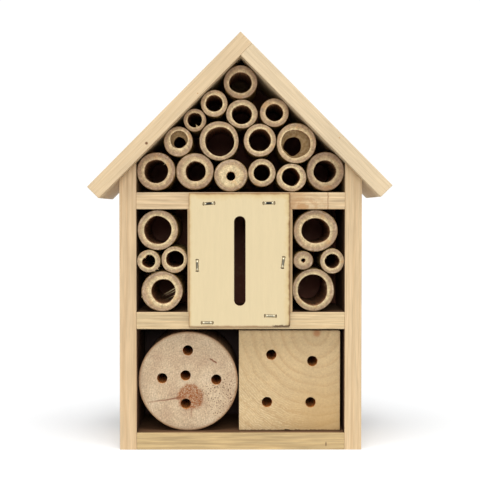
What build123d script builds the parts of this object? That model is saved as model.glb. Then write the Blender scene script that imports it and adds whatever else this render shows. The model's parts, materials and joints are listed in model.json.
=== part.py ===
from build123d import *
import math
import os

# Insect hotel: a gabled frame of pine boards, 30 cm high, that stands on its own base or hangs on
# a wall. Bamboo tubes fill the gable and two side cells, a slotted plywood panel closes a
# butterfly chamber in the middle, and a drilled log slice and a drilled pine block stand below.
# Millimetres. +X is to the right, +Z up, and the front faces -Y. The origin is on the ground,
# midway between the two eaves and midway between the roof's front and back edges.

os.makedirs("parts", exist_ok=True)

# ---- driving dimensions ---------------------------------------------------------------------

RIDGE_Z = 301.0            # top of the ridge
ROOF_PITCH = 45.2          # degrees, both slopes
ROOF_T = 11.8              # roof board, planed thickness
ROOF_DEPTH = 92.0          # front edge to back edge
ROOF_OVERHANG = 10.0       # how far the roof stands out in front of the frame
LEFT_SLOPE = 155.6         # ridge to eave along the left board, which laps over the right one
RIGHT_SLOPE = 154.1        # the same on the right, lap included

BOARD_T = 12.2             # frame boards, planed thickness
BODY_W = 175.3             # over the two side boards
BODY_X = 0.6               # the frame's middle: the longer left slope pushes it off the origin
LOWER_SHELF_Z = 87.8       # underside
UPPER_SHELF_Z = 174.6      # underside
CHAMBER_X = 0.15           # middle of the butterfly chamber
CHAMBER_W = 75.9           # over the two dividers
PLY_T = 3.0                # back panel and butterfly panel

PANEL_W = 73.0
PANEL_BASE_Z = 89.6
PANEL_TOP_Z = 186.2
PANEL_X = -0.2
SLOT_W = 8.3
SLOT_L = 64.7
SLOT_Z = 137.3             # middle of the slot

BLOCK_RECESS = 8.0         # the log slice and the pine block stand back from the frame's front
BLOCK_DEPTH = 66.0
DRILL_D = 7.6
DRILL_DEPTH = 55.0
LOG_D = 73.2
LOG_X = -37.8
PINE_SIDE_W = 74.0
PINE_SIDE_H = 73.8
PINE_X = 36.4

TUBE_BACK = 38.0           # the tubes end 5 mm short of the back panel
NODE_T = 2.0               # thickness of a wall across a tube, left where the cane had a node
HANGING_HOLE_D = 8.0
HANGING_HOLE_DROP = 22.0   # below the inside of the ridge

NAIL_D = 1.6
NAIL_HEAD_D = 3.0
NAIL_HEAD_T = 0.8
LONG_NAIL = 30.0
SHORT_NAIL = 22.0
STAPLE_CROWN = 9.0
STAPLE_LEG = 8.0
STAPLE_WIRE = 0.7          # thickness across the leg and the crown
STAPLE_WIDTH = 1.1         # the wire is flattened: wider than thick
STAPLE_PROUD = 0.2         # how far the crown stands out of the plywood

# ---- planes and lines worked out from them --------------------------------------------------

PITCH = math.radians(ROOF_PITCH)
RIDGE_X = (LEFT_SLOPE - RIGHT_SLOPE) * math.cos(PITCH) / 2
INNER_RIDGE_Z = RIDGE_Z - ROOF_T / math.cos(PITCH)

ROOF_BACK_Y = ROOF_DEPTH / 2
FRONT_Y = -ROOF_DEPTH / 2 + ROOF_OVERHANG
INNER_BACK_Y = ROOF_BACK_Y - PLY_T
FRAME_DEPTH = INNER_BACK_Y - FRONT_Y
BLOCK_FRONT_Y = FRONT_Y + BLOCK_RECESS

LEFT_X = BODY_X - BODY_W / 2
RIGHT_X = BODY_X + BODY_W / 2
INNER_LEFT_X = LEFT_X + BOARD_T
INNER_RIGHT_X = RIGHT_X - BOARD_T
CELL_TOP_Z = UPPER_SHELF_Z
CELL_BASE_Z = LOWER_SHELF_Z + BOARD_T
GABLE_BASE_Z = UPPER_SHELF_Z + BOARD_T
DIVIDER_MIDDLES = (CHAMBER_X - (CHAMBER_W - BOARD_T) / 2, CHAMBER_X + (CHAMBER_W - BOARD_T) / 2)


def upright_plane(y):
    """An upright plane seen from the front, so that extruding from it comes forwards."""
    return Plane.XZ.offset(-y)


def roof_underside(x):
    """Height of the roof's underside at x."""
    return INNER_RIDGE_Z - abs(x - RIDGE_X) * math.tan(PITCH)


# ---- fasteners ------------------------------------------------------------------------------
# They are made first, because every board is cut to fit the ones driven into it.


def nails(face, points, length):
    """Brads with their heads flush with the plane `face` and their shanks behind it."""
    with BuildPart() as row:
        with BuildSketch(face):
            with Locations(*points):
                Circle(NAIL_D / 2)
        extrude(amount=-length)
        with BuildSketch(face):
            with Locations(*points):
                Circle(NAIL_HEAD_D / 2)
        extrude(amount=-NAIL_HEAD_T)
    return row.part


def staple(x, y, z, tilt, outward):
    """A wire staple. The crown lies at `tilt` degrees, and `outward` is -1 front or +1 back."""
    across = (math.cos(math.radians(tilt)), 0, math.sin(math.radians(tilt)))
    side = (-outward * across[2], 0, outward * across[0])
    with BuildPart() as wire:
        with BuildSketch(Plane(origin=(x, y, z), x_dir=across, z_dir=side)):
            with Locations((0, STAPLE_PROUD)):
                Rectangle(STAPLE_CROWN, STAPLE_LEG, align=(Align.CENTER, Align.MAX))
            with Locations((0, STAPLE_PROUD - STAPLE_WIRE)):
                Rectangle(
                    STAPLE_CROWN - 2 * STAPLE_WIRE,
                    STAPLE_LEG,
                    align=(Align.CENTER, Align.MAX),
                    mode=Mode.SUBTRACT,
                )
        extrude(amount=STAPLE_WIDTH / 2, both=True)
        width_edges = wire.edges().filter_by(Axis(origin=(0, 0, 0), direction=side))
        outer_bends = width_edges.sort_by(Axis.Y, reverse=outward > 0)[:2]
        fillet(outer_bends, 0.5)
    return wire.part


NAIL_ROWS_Y = (FRONT_Y + 16, FRONT_Y + 62)

# Side nails: through each side board into the ends of the floor and the two shelves.
board_levels = [BOARD_T / 2, LOWER_SHELF_Z + BOARD_T / 2, UPPER_SHELF_Z + BOARD_T / 2]
left_face = Plane(origin=(LEFT_X, 0, 0), x_dir=(0, 1, 0), z_dir=(-1, 0, 0))
right_face = Plane(origin=(RIGHT_X, 0, 0), x_dir=(0, 1, 0), z_dir=(1, 0, 0))
left_nails = nails(left_face, [(y, -z) for y in NAIL_ROWS_Y for z in board_levels], LONG_NAIL)
right_nails = nails(right_face, [(y, z) for y in NAIL_ROWS_Y for z in board_levels], LONG_NAIL)
with BuildPart() as side_nails:
    add([left_nails, right_nails])
side_nails.part.label = "side_nails"
export_step(side_nails.part, "parts/side_nails.step")

# Divider nails: down through the upper shelf and up through the lower one.
shelf_top = Plane.XY.offset(GABLE_BASE_Z)
shelf_underside = Plane(origin=(0, 0, LOWER_SHELF_Z), x_dir=(1, 0, 0), z_dir=(0, 0, -1))
upper_points = [(x, y) for x in DIVIDER_MIDDLES for y in NAIL_ROWS_Y]
lower_points = [(x, -y) for x in DIVIDER_MIDDLES for y in NAIL_ROWS_Y]
upper_nails = nails(shelf_top, upper_points, LONG_NAIL)
lower_nails = nails(shelf_underside, lower_points, LONG_NAIL)
with BuildPart() as divider_nails:
    add([upper_nails, lower_nails])
divider_nails.part.label = "divider_nails"
export_step(divider_nails.part, "parts/divider_nails.step")

# Block nails: up through the floor into the log slice and the pine block.
floor_underside = Plane(origin=(0, 0, 0), x_dir=(1, 0, 0), z_dir=(0, 0, -1))
block_nails = nails(
    floor_underside, [(x, -y) for x in (LOG_X, PINE_X) for y in NAIL_ROWS_Y], SHORT_NAIL
)
block_nails.label = "block_nails"
export_step(block_nails, "parts/block_nails.step")

# Roof nails: three along the ridge, where the left board laps over the end of the right one, and
# two through each slope into the bevelled top of the side board below.
EAVE_NAIL_S = 132.0        # along the slope from the ridge
slope_left = Plane(
    origin=(RIDGE_X, 0, RIDGE_Z),
    x_dir=(-math.cos(PITCH), 0, -math.sin(PITCH)),
    z_dir=(-math.sin(PITCH), 0, math.cos(PITCH)),
)
slope_right = Plane(
    origin=(RIDGE_X, 0, RIDGE_Z),
    x_dir=(math.cos(PITCH), 0, -math.sin(PITCH)),
    z_dir=(math.sin(PITCH), 0, math.cos(PITCH)),
)
ridge_row = nails(slope_left, [(ROOF_T / 2, y) for y in (-36, 0, 36)], LONG_NAIL)
left_eave_row = nails(slope_left, [(EAVE_NAIL_S, -y) for y in NAIL_ROWS_Y], SHORT_NAIL)
right_eave_row = nails(slope_right, [(EAVE_NAIL_S, y) for y in NAIL_ROWS_Y], SHORT_NAIL)
with BuildPart() as roof_nails:
    add([ridge_row, left_eave_row, right_eave_row])
roof_nails.part.label = "roof_nails"
export_step(roof_nails.part, "parts/roof_nails.step")

# Panel staples: six round the edge of the butterfly panel, driven by hand, so none is square.
PANEL_STAPLES = [          # x, z, tilt of the crown in degrees
    (-22.2, 178.7, 4),
    (21.0, 179.0, 1),
    (-30.7, 134.1, 91),
    (31.2, 136.2, 82),
    (-23.5, 92.7, 0),
    (22.1, 97.6, -2),
]
panel_wires = [staple(x, FRONT_Y - PLY_T, z, tilt, -1) for x, z, tilt in PANEL_STAPLES]
with BuildPart() as panel_staples:
    add(panel_wires)
panel_staples.part.label = "panel_staples"
export_step(panel_staples.part, "parts/panel_staples.step")

# Back panel staples: three up each side board, two along each shelf and two along the floor.
side_middles = (LEFT_X + BOARD_T / 2, RIGHT_X - BOARD_T / 2)
BACK_STAPLES = [(x, z, 90) for x in side_middles for z in (38, 112, 166)]
BACK_STAPLES += [(x, z, 0) for x in (-42, 42) for z in board_levels]
back_crown_y = ROOF_BACK_Y - STAPLE_PROUD       # flush behind, where the hotel lies on a wall
back_wires = [staple(x, back_crown_y, z, tilt, 1) for x, z, tilt in BACK_STAPLES]
with BuildPart() as back_panel_staples:
    add(back_wires)
back_panel_staples.part.label = "back_panel_staples"
export_step(back_panel_staples.part, "parts/back_panel_staples.step")

ALL_FASTENERS = [
    side_nails.part,
    divider_nails.part,
    block_nails,
    roof_nails.part,
    panel_staples.part,
    back_panel_staples.part,
]

# ---- frame ----------------------------------------------------------------------------------

# Left side board: runs to the ground, and its top is bevelled to carry the roof.
with BuildPart() as left_side_board:
    with BuildSketch(upright_plane(INNER_BACK_Y)):
        with BuildLine():
            Polyline(
                (LEFT_X, 0),
                (INNER_LEFT_X, 0),
                (INNER_LEFT_X, roof_underside(INNER_LEFT_X)),
                (LEFT_X, roof_underside(LEFT_X)),
                close=True,
            )
        make_face()
    extrude(amount=FRAME_DEPTH)
    add(ALL_FASTENERS, mode=Mode.SUBTRACT)
left_side_board.part.label = "left_side_board"
export_step(left_side_board.part, "parts/left_side_board.step")

# Right side board: the same, bevelled the other way.
with BuildPart() as right_side_board:
    with BuildSketch(upright_plane(INNER_BACK_Y)):
        with BuildLine():
            Polyline(
                (INNER_RIGHT_X, 0),
                (RIGHT_X, 0),
                (RIGHT_X, roof_underside(RIGHT_X)),
                (INNER_RIGHT_X, roof_underside(INNER_RIGHT_X)),
                close=True,
            )
        make_face()
    extrude(amount=FRAME_DEPTH)
    add(ALL_FASTENERS, mode=Mode.SUBTRACT)
right_side_board.part.label = "right_side_board"
export_step(right_side_board.part, "parts/right_side_board.step")


def cross_board(underside_z):
    """A level board that fills the width between the two side boards."""
    with BuildPart() as board:
        with BuildSketch(upright_plane(INNER_BACK_Y)):
            with Locations((BODY_X, underside_z)):
                Rectangle(BODY_W - 2 * BOARD_T, BOARD_T, align=(Align.CENTER, Align.MIN))
        extrude(amount=FRAME_DEPTH)
        add(ALL_FASTENERS, mode=Mode.SUBTRACT)
    return board.part


for board_name, underside in (
    ("floor_board", 0),
    ("lower_shelf", LOWER_SHELF_Z),
    ("upper_shelf", UPPER_SHELF_Z),
):
    shelf = cross_board(underside)
    shelf.label = board_name
    export_step(shelf, f"parts/{board_name}.step")

# Dividers: two short uprights between the shelves, the side walls of the butterfly chamber.
for divider_name, middle_x in zip(("left_divider", "right_divider"), DIVIDER_MIDDLES):
    with BuildPart() as divider:
        with BuildSketch(upright_plane(INNER_BACK_Y)):
            with Locations((middle_x, CELL_BASE_Z)):
                Rectangle(BOARD_T, CELL_TOP_Z - CELL_BASE_Z, align=(Align.CENTER, Align.MIN))
        extrude(amount=FRAME_DEPTH)
        add(ALL_FASTENERS, mode=Mode.SUBTRACT)
    divider.part.label = divider_name
    export_step(divider.part, f"parts/{divider_name}.step")

# Back panel: one gabled sheet of plywood, stapled on behind and tucked under the roof boards. The
# hole near its top takes a nail or a hook in the wall.
with BuildPart() as back_panel:
    with BuildSketch(upright_plane(ROOF_BACK_Y)):
        with BuildLine():
            Polyline(
                (LEFT_X, 0),
                (RIGHT_X, 0),
                (RIGHT_X, roof_underside(RIGHT_X)),
                (RIDGE_X, INNER_RIDGE_Z),
                (LEFT_X, roof_underside(LEFT_X)),
                close=True,
            )
        make_face()
        with Locations((RIDGE_X, INNER_RIDGE_Z - HANGING_HOLE_DROP)):
            Circle(HANGING_HOLE_D / 2, mode=Mode.SUBTRACT)
    extrude(amount=PLY_T)
    add(ALL_FASTENERS, mode=Mode.SUBTRACT)
back_panel.part.label = "back_panel"
export_step(back_panel.part, "parts/back_panel.step")

# ---- roof -----------------------------------------------------------------------------------


def on_slope(along, below, side):
    """A point `along` the slope from the ridge and `below` its outer face; side -1 is left."""
    x = RIDGE_X + side * (along * math.cos(PITCH) - below * math.sin(PITCH))
    z = RIDGE_Z - along * math.sin(PITCH) - below * math.cos(PITCH)
    return (x, z)


# Where the right board's outer face meets the left board's underside, and the inside of the ridge.
LAP_ANGLE = math.pi - 2 * PITCH
lap_point = on_slope(ROOF_T / math.sin(LAP_ANGLE), 0, 1)
inner_ridge = (RIDGE_X, INNER_RIDGE_Z)

# Left roof board: it runs right up to the ridge, over the end of the right one.
with BuildPart() as left_roof_board:
    with BuildSketch(upright_plane(ROOF_BACK_Y)):
        with BuildLine():
            Polyline(
                (RIDGE_X, RIDGE_Z),
                lap_point,
                on_slope(LEFT_SLOPE, ROOF_T, -1),
                on_slope(LEFT_SLOPE, 0, -1),
                close=True,
            )
        make_face()
    extrude(amount=ROOF_DEPTH)
    add(ALL_FASTENERS, mode=Mode.SUBTRACT)
left_roof_board.part.label = "left_roof_board"
export_step(left_roof_board.part, "parts/left_roof_board.step")

# Right roof board: its top end butts against the left board's underside.
with BuildPart() as right_roof_board:
    with BuildSketch(upright_plane(ROOF_BACK_Y)):
        with BuildLine():
            Polyline(
                lap_point,
                on_slope(RIGHT_SLOPE, 0, 1),
                on_slope(RIGHT_SLOPE, ROOF_T, 1),
                inner_ridge,
                close=True,
            )
        make_face()
    extrude(amount=ROOF_DEPTH)
    add(ALL_FASTENERS, mode=Mode.SUBTRACT)
right_roof_board.part.label = "right_roof_board"
export_step(right_roof_board.part, "parts/right_roof_board.step")

# ---- butterfly chamber ----------------------------------------------------------------------

# Butterfly panel: thin plywood over the front of the chamber, with a tall round-ended slot.
with BuildPart() as butterfly_panel:
    with BuildSketch(upright_plane(FRONT_Y)):
        with Locations((PANEL_X, PANEL_BASE_Z)):
            Rectangle(PANEL_W, PANEL_TOP_Z - PANEL_BASE_Z, align=(Align.CENTER, Align.MIN))
        with Locations((0, SLOT_Z)):
            SlotOverall(SLOT_L, SLOT_W, rotation=90, mode=Mode.SUBTRACT)
    extrude(amount=PLY_T)
    add(ALL_FASTENERS, mode=Mode.SUBTRACT)
butterfly_panel.part.label = "butterfly_panel"
export_step(butterfly_panel.part, "parts/butterfly_panel.step")

# ---- drilled wood ---------------------------------------------------------------------------

LOG_HOLES = [              # x, z of each drilled hole
    (-38.0, 71.4),
    (-56.8, 50.9),
    (-39.7, 53.0),
    (-17.2, 49.9),
    (-39.5, 32.2),
]
PINE_HOLES = [
    (23.1, 68.2),
    (53.1, 63.5),
    (19.9, 33.4),
    (51.8, 33.2),
]

# Log slice: a debarked round of a thin pine trunk, end grain to the front.
with BuildPart() as log_disc:
    with BuildSketch(upright_plane(BLOCK_FRONT_Y + BLOCK_DEPTH)):
        with Locations((LOG_X, BOARD_T + LOG_D / 2)):
            Circle(LOG_D / 2)
    extrude(amount=BLOCK_DEPTH)
    with BuildSketch(upright_plane(BLOCK_FRONT_Y)):
        with Locations(*LOG_HOLES):
            Circle(DRILL_D / 2)
    extrude(amount=-DRILL_DEPTH, mode=Mode.SUBTRACT)
    add(ALL_FASTENERS, mode=Mode.SUBTRACT)
log_disc.part.label = "log_disc"
export_step(log_disc.part, "parts/log_disc.step")

# Pine block: sawn square, end grain to the front, with a gap left beside the right side board.
with BuildPart() as pine_block:
    with BuildSketch(upright_plane(BLOCK_FRONT_Y + BLOCK_DEPTH)):
        with Locations((PINE_X, BOARD_T)):
            Rectangle(PINE_SIDE_W, PINE_SIDE_H, align=(Align.CENTER, Align.MIN))
    extrude(amount=BLOCK_DEPTH)
    with BuildSketch(upright_plane(BLOCK_FRONT_Y)):
        with Locations(*PINE_HOLES):
            Circle(DRILL_D / 2)
    extrude(amount=-DRILL_DEPTH, mode=Mode.SUBTRACT)
    add(ALL_FASTENERS, mode=Mode.SUBTRACT)
pine_block.part.label = "pine_block"
export_step(pine_block.part, "parts/pine_block.step")

# ---- bamboo tubes ---------------------------------------------------------------------------
# No two canes are alike, so each tube has its own place and size: x, z, outer width, outer
# height, bore, and how far the bore lies off the tube's middle in x and z.

GABLE_TUBES = [
    (0.5, 266.5, 24.5, 24.5, 15.5, 0, -0.5),
    (-18.5, 251.0, 19.5, 19.5, 12.0, 0, 0),
    (1.5, 243.5, 23.0, 21.0, 14.0, 0, -0.5),
    (25.0, 244.5, 21.0, 21.0, 12.5, 0, 0),
    (-32.5, 239.0, 16.5, 16.5, 10.5, 0, 0),
    (-44.5, 223.5, 21.0, 22.0, 12.5, 0.5, 1.5),
    (-15.0, 224.0, 29.0, 28.5, 21.0, 0.5, -0.5),
    (14.5, 224.5, 23.5, 24.0, 16.0, 0, 0),
    (41.0, 222.5, 29.0, 29.5, 20.5, -0.5, -0.5),
    (-60.5, 202.0, 28.0, 28.0, 17.0, 0, 0),
    (-32.5, 202.0, 27.5, 27.0, 14.5, 0.5, 0),
    (-6.5, 199.0, 24.5, 23.5, 6.5, 0, -0.5),
    (16.0, 201.0, 20.0, 20.5, 12.0, 0, 0),
    (37.5, 197.5, 22.0, 20.5, 13.0, -0.5, 0.5),
    (62.0, 202.0, 27.5, 28.5, 16.0, -0.5, 0),
]
LEFT_TUBES = [
    (-59.5, 159.5, 30.0, 29.5, 20.0, 0, 0),
    (-66.0, 137.0, 17.0, 16.5, 9.5, 0, 0),
    (-47.5, 138.0, 19.0, 19.5, 12.5, 0.5, 0.5),
    (-56.5, 115.0, 30.5, 29.5, 17.5, 1.0, 0),
]
RIGHT_TUBES = [
    (55.0, 159.0, 32.5, 30.5, 19.5, 0, 0),
    (46.0, 137.5, 14.5, 13.5, 3.0, 0, 0),
    (67.0, 137.0, 17.5, 18.5, 10.5, 0, 0),
    (53.5, 116.0, 30.5, 31.5, 22.0, -0.5, 0),
]
TUBE_INSETS = (1.5, 2.5, 1.0, 2.0, 3.0)   # the sawn ends don't line up: each in turn
NODE_WALLS = {             # tube: depth behind its front end, and the hole through the wall
    "gable_tube_01": (60.0, 0),
    "gable_tube_06": (9.0, 8.0),
    "gable_tube_09": (11.0, 13.0),
}


def bamboo_tube(tube_name, dims, inset):
    """A sawn length of bamboo along Y, with a wall across it if NODE_WALLS gives one."""
    x, z, width, height, bore, shift_x, shift_z = dims
    front_y = FRONT_Y + inset
    bore_middle = (x + shift_x, z + shift_z)
    with BuildPart() as tube:
        with BuildSketch(upright_plane(TUBE_BACK)):
            with Locations((x, z)):
                Ellipse(width / 2, height / 2)
            with Locations(bore_middle):
                Circle(bore / 2, mode=Mode.SUBTRACT)
        extrude(amount=TUBE_BACK - front_y)
        if tube_name in NODE_WALLS:
            depth, hole = NODE_WALLS[tube_name]
            with BuildSketch(upright_plane(front_y + depth + NODE_T)):
                with Locations(bore_middle):
                    Circle(bore / 2 + 0.2)
                    if hole > 0:
                        Circle(hole / 2, mode=Mode.SUBTRACT)
            extrude(amount=NODE_T)
    return tube.part


for group, rows in (("gable_tube", GABLE_TUBES), ("left_tube", LEFT_TUBES), ("right_tube", RIGHT_TUBES)):
    for number, row in enumerate(rows, start=1):
        tube_name = f"{group}_{number:02d}"
        cane = bamboo_tube(tube_name, row, TUBE_INSETS[number % len(TUBE_INSETS)])
        cane.label = tube_name
        export_step(cane, f"parts/{tube_name}.step")
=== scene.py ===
# %% [markdown]
# # An insect hotel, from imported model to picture
# The hotel is a small gabled frame of raw pine boards. Bamboo tubes fill the gable and two side
# cells, a slotted plywood panel closes the butterfly chamber, and a drilled log slice and a drilled
# pine block stand on the floor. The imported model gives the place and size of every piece, and this
# lesson gives each one the shape and the surface of the real thing. Blender works in metres, and MM
# turns the millimetres of the workshop into them.

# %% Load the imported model
import json
import math
import random
from types import SimpleNamespace

import bmesh
import bpy
import numpy as np
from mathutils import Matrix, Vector, noise


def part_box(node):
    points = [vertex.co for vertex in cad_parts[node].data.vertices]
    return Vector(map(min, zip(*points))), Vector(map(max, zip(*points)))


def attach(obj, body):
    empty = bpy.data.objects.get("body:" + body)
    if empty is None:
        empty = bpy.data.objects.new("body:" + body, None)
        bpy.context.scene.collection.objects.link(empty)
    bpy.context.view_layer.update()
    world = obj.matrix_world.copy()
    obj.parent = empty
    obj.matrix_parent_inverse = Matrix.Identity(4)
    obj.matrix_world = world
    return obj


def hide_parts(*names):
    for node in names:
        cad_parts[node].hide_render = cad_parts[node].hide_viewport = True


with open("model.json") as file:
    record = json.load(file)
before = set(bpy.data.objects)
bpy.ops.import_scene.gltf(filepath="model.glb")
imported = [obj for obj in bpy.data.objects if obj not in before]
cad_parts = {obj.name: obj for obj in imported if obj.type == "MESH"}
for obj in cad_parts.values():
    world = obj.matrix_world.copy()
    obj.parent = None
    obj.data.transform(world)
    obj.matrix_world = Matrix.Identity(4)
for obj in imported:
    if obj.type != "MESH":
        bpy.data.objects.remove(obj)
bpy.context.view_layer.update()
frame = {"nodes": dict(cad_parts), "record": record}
MM = 0.001
print("nodes in the packed model:", len(frame["nodes"]))

# %% [markdown]
# ## The camera
# A product like this is shown from straight in front, so that every opening can be compared. A
# wide lens close by would bend the house, so a long lens stands most of a metre away: the front is
# almost flat, with just enough perspective to see a little of each inner wall. The camera is just
# above the middle of the hotel and tips down by a degree and a half, so upright lines lean together
# very slightly towards the ground.

# %% Place the camera
CAMERA_LENS_MM = 85.0
CAMERA_STAND_OFF = 0.809        # from the roof's front edge
CAMERA_HEIGHT = 0.1741
CAMERA_X = -0.002
CAMERA_TIP = math.radians(1.52)
CAMERA_TURN = math.radians(0.15)

scene = bpy.context.scene
roof_front_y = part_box("left_roof_board")[0][1]
camera_data = bpy.data.cameras.new("camera")
camera_data.lens = CAMERA_LENS_MM
camera = bpy.data.objects.new("camera", camera_data)
camera.location = (CAMERA_X, roof_front_y - CAMERA_STAND_OFF, CAMERA_HEIGHT)
camera.rotation_euler = (math.pi / 2 - CAMERA_TIP, 0, -CAMERA_TURN)
scene.collection.objects.link(camera)
scene.camera = camera
print("camera at", [round(v, 3) for v in camera.location])

# %% [markdown]
# ## A node, a colour and a material
# Every finish below is a small graph of nodes. Such a graph can be joined by hand in the shader
# editor, but code can be read and repeated: one function adds a node, sets its values and joins it
# to the nodes before it. Colours are written as the sRGB hex values that a paint chart would give,
# and one function turns them into the linear values that the renderer works in.

# %% Helpers for materials


def linear(hex_colour):
    """sRGB hex such as "E8D2AE" as a linear RGBA tuple."""
    channels = [int(hex_colour[i:i + 2], 16) / 255 for i in (0, 2, 4)]
    return tuple(c / 12.92 if c <= 0.04045 else ((c + 0.055) / 1.055) ** 2.4 for c in channels) + (1.0,)


def add_node(tree, kind, settings=None, links=None):
    """Adds one node. Settings are input sockets, properties or a ramp's stops; links are inputs."""
    made = tree.nodes.new("ShaderNode" + kind)
    for key, value in (settings or {}).items():
        if key == "stops":
            ramp = made.color_ramp
            while len(ramp.elements) < len(value):
                ramp.elements.new(1.0)
            for element, (position, colour) in zip(ramp.elements, value):
                element.position = position
                element.color = colour
        elif isinstance(key, int) or key in made.inputs:
            made.inputs[key].default_value = value
        else:
            setattr(made, key, value)
    for key, source in (links or {}).items():
        tree.links.new(source, made.inputs[key])
    return made


def new_material(name):
    """An empty node material: returns it, its tree, its shader and the point's place in mm."""
    material = bpy.data.materials.new(name)
    material.use_nodes = True
    tree = material.node_tree
    shader = tree.nodes["Principled BSDF"]
    place = add_node(tree, "TexCoord").outputs["Object"]
    place_mm = add_node(tree, "VectorMath", {"operation": "SCALE", "Scale": 1 / MM}, {0: place})
    return material, tree, shader, place_mm.outputs[0]


print("a pine tone in linear light:", [round(c, 3) for c in linear("E8D2AE")])

# %% [markdown]
# ## The table
# The hotel stands on a matt white table in a white room. A curved paper sweep would do as well, but
# a plain wide plane is enough here, because the ground is so bright that it runs into the room
# without a line. A matt laminate reflects the light evenly, with no mirror image of the wood.

# %% Lay the table
TABLE_REACH = 12.0
TABLE_CORNERS = [(-1, -1), (1, -1), (1, 1), (-1, 1)]

floor_mesh = bpy.data.meshes.new("table_top")
floor_mesh.from_pydata([(TABLE_REACH * x, TABLE_REACH * y, 0) for x, y in TABLE_CORNERS], [], [(0, 1, 2, 3)])
floor = bpy.data.objects.new("table_top", floor_mesh)
scene.collection.objects.link(floor)
table_white, tree, shader, place_mm = new_material("matt_white_laminate")
shader.inputs["Base Color"].default_value = linear("F8F9FA")
shader.inputs["Roughness"].default_value = 0.9
shader.inputs["Specular IOR Level"].default_value = 0.2
floor_mesh.materials.append(table_white)
print("table:", 2 * TABLE_REACH, "m wide")

# %% [markdown]
# ## The light
# Area lamps would make soft shadows too, but their light falls off with distance. A sun lamp with a
# wide angle stands for a large soft box that is far away, and lights the whole front evenly. Two of
# them are high in front, one to each side: both throw their shadow backwards, so the ground before
# the hotel stays bright and a soft grey shadow shows on both sides of its base. A third, low one
# shines straight in. It reaches a little way into the drilled holes and turns their lower walls
# brown. The room's own light is weaker than what the camera sees of it, which keeps the deep bores
# dark.

# %% Lamps and room
SOFT_BOXES = {                  # strength, angular size, height and turn from the front, in degrees
    "left_soft_box": (1.38, 34, 66, -26),
    "right_soft_box": (1.38, 34, 66, 26),
    "low_soft_box": (1.36, 30, 20, 0),
}
ROOM_SEEN = 1.05
ROOM_LIGHT = 0.2

scene.view_settings.view_transform = "Standard"
for name, (power, size, height, turn) in SOFT_BOXES.items():
    box_data = bpy.data.lights.new(name, "SUN")
    box_data.energy = power
    box_data.angle = math.radians(size)
    soft_box = bpy.data.objects.new(name, box_data)
    soft_box.rotation_euler = (math.radians(90 - height), 0, math.radians(turn))
    scene.collection.objects.link(soft_box)

world = bpy.data.worlds.new("white_room")
world.use_nodes = True
scene.world = world
tree = world.node_tree
seen = add_node(tree, "LightPath").outputs["Is Camera Ray"]
strength = add_node(tree, "MapRange", {"To Min": ROOM_LIGHT, "To Max": ROOM_SEEN}, {"Value": seen})
tree.links.new(strength.outputs[0], tree.nodes["Background"].inputs["Strength"])
tree.nodes["Background"].inputs["Color"].default_value = (1, 1, 1, 1)
print("soft boxes:", list(SOFT_BOXES))

# %% [markdown]
# ## What all the wood has in common
# Pine, plywood, bamboo and the log are all bundles of fibres, and they share a few steps. Streaks
# are noise drawn out along the fibres. Dapples lighten and darken a colour by a few percent. A stain
# is laid over a colour where a mask is 1, and a mask is often a range of places with soft ends. Last,
# colour and relief go to the shader. Image textures could give all this, but they would have to be
# wrapped round every board: a recipe that depends only on the point's place in the solid needs no
# unwrapping, and its grain runs on from face to face.

# %% Streaks, dapples, stains and relief
WOOD_IOR = 1.5                  # cellulose
NO_LOW = -1000.0                # a mask's range that has no end on one side
NO_HIGH = 1000.0


def streaks(tree, place, waves, detail=3.0, roughness=0.6):
    """Noise drawn out along the fibres; waves is how many it has to a millimetre on X, Y and Z."""
    drawn = add_node(tree, "VectorMath", {"operation": "MULTIPLY", 1: waves}, {0: place})
    settings = {"Scale": 1.0, "Detail": detail, "Roughness": roughness}
    return add_node(tree, "TexNoise", settings, {"Vector": drawn.outputs[0]}).outputs[0]


def dappled(tree, colour, layers):
    """Lightens and darkens: a layer is a value, the span of it that counts, and the factors there."""
    for value, low, high, dark, light in layers:
        factor = add_node(
            tree, "MapRange", {"From Min": low, "From Max": high, "To Min": dark, "To Max": light},
            {"Value": value},
        )
        scaled = add_node(tree, "VectorMath", {"operation": "SCALE"}, {0: colour, "Scale": factor.outputs[0]})
        colour = scaled.outputs[0]
    return colour


def stained(tree, colour, mask, hex_colour, amount=1.0):
    """Lays a colour over another, as much as the mask says times amount."""
    share = add_node(tree, "Math", {"operation": "MULTIPLY", 1: amount}, {0: mask})
    settings = {"data_type": "RGBA", 7: linear(hex_colour)}
    return add_node(tree, "Mix", settings, {0: share.outputs[0], 6: colour}).outputs[2]


def between(tree, value, low, high, soft, within=None):
    """1 where the value lies from low to high and the mask `within` is 1, with ends `soft` wide."""
    ends = []
    for outside, inside in ((low - soft, low), (high + soft, high)):
        end = add_node(
            tree, "MapRange", {"interpolation_type": "SMOOTHSTEP", "From Min": outside, "From Max": inside},
            {"Value": value},
        )
        ends.append(end.outputs[0])
    mask = add_node(tree, "Math", {"operation": "MULTIPLY"}, {0: ends[0], 1: ends[1]}).outputs[0]
    if within is None:
        return mask
    return add_node(tree, "Math", {"operation": "MULTIPLY"}, {0: mask, 1: within}).outputs[0]


def ragged(tree, value, rough, reach):
    """A value moved by noise of the given reach, so that an edge drawn from it runs in and out."""
    return add_node(tree, "Math", {"operation": "MULTIPLY_ADD", 1: reach}, {0: rough, 2: value}).outputs[0]


def dress(tree, shader, colour, height, strength, depth_mm, rough, specular):
    """Gives the shader its colour, its relief and its gloss."""
    bump = add_node(tree, "Bump", {"Strength": strength, "Distance": depth_mm * MM}, {"Height": height})
    tree.links.new(colour, shader.inputs["Base Color"])
    tree.links.new(bump.outputs[0], shader.inputs["Normal"])
    shader.inputs["Roughness"].default_value = rough
    shader.inputs["IOR"].default_value = WOOD_IOR
    shader.inputs["Specular IOR Level"].default_value = specular


print("fibres' refractive index:", WOOD_IOR)

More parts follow.
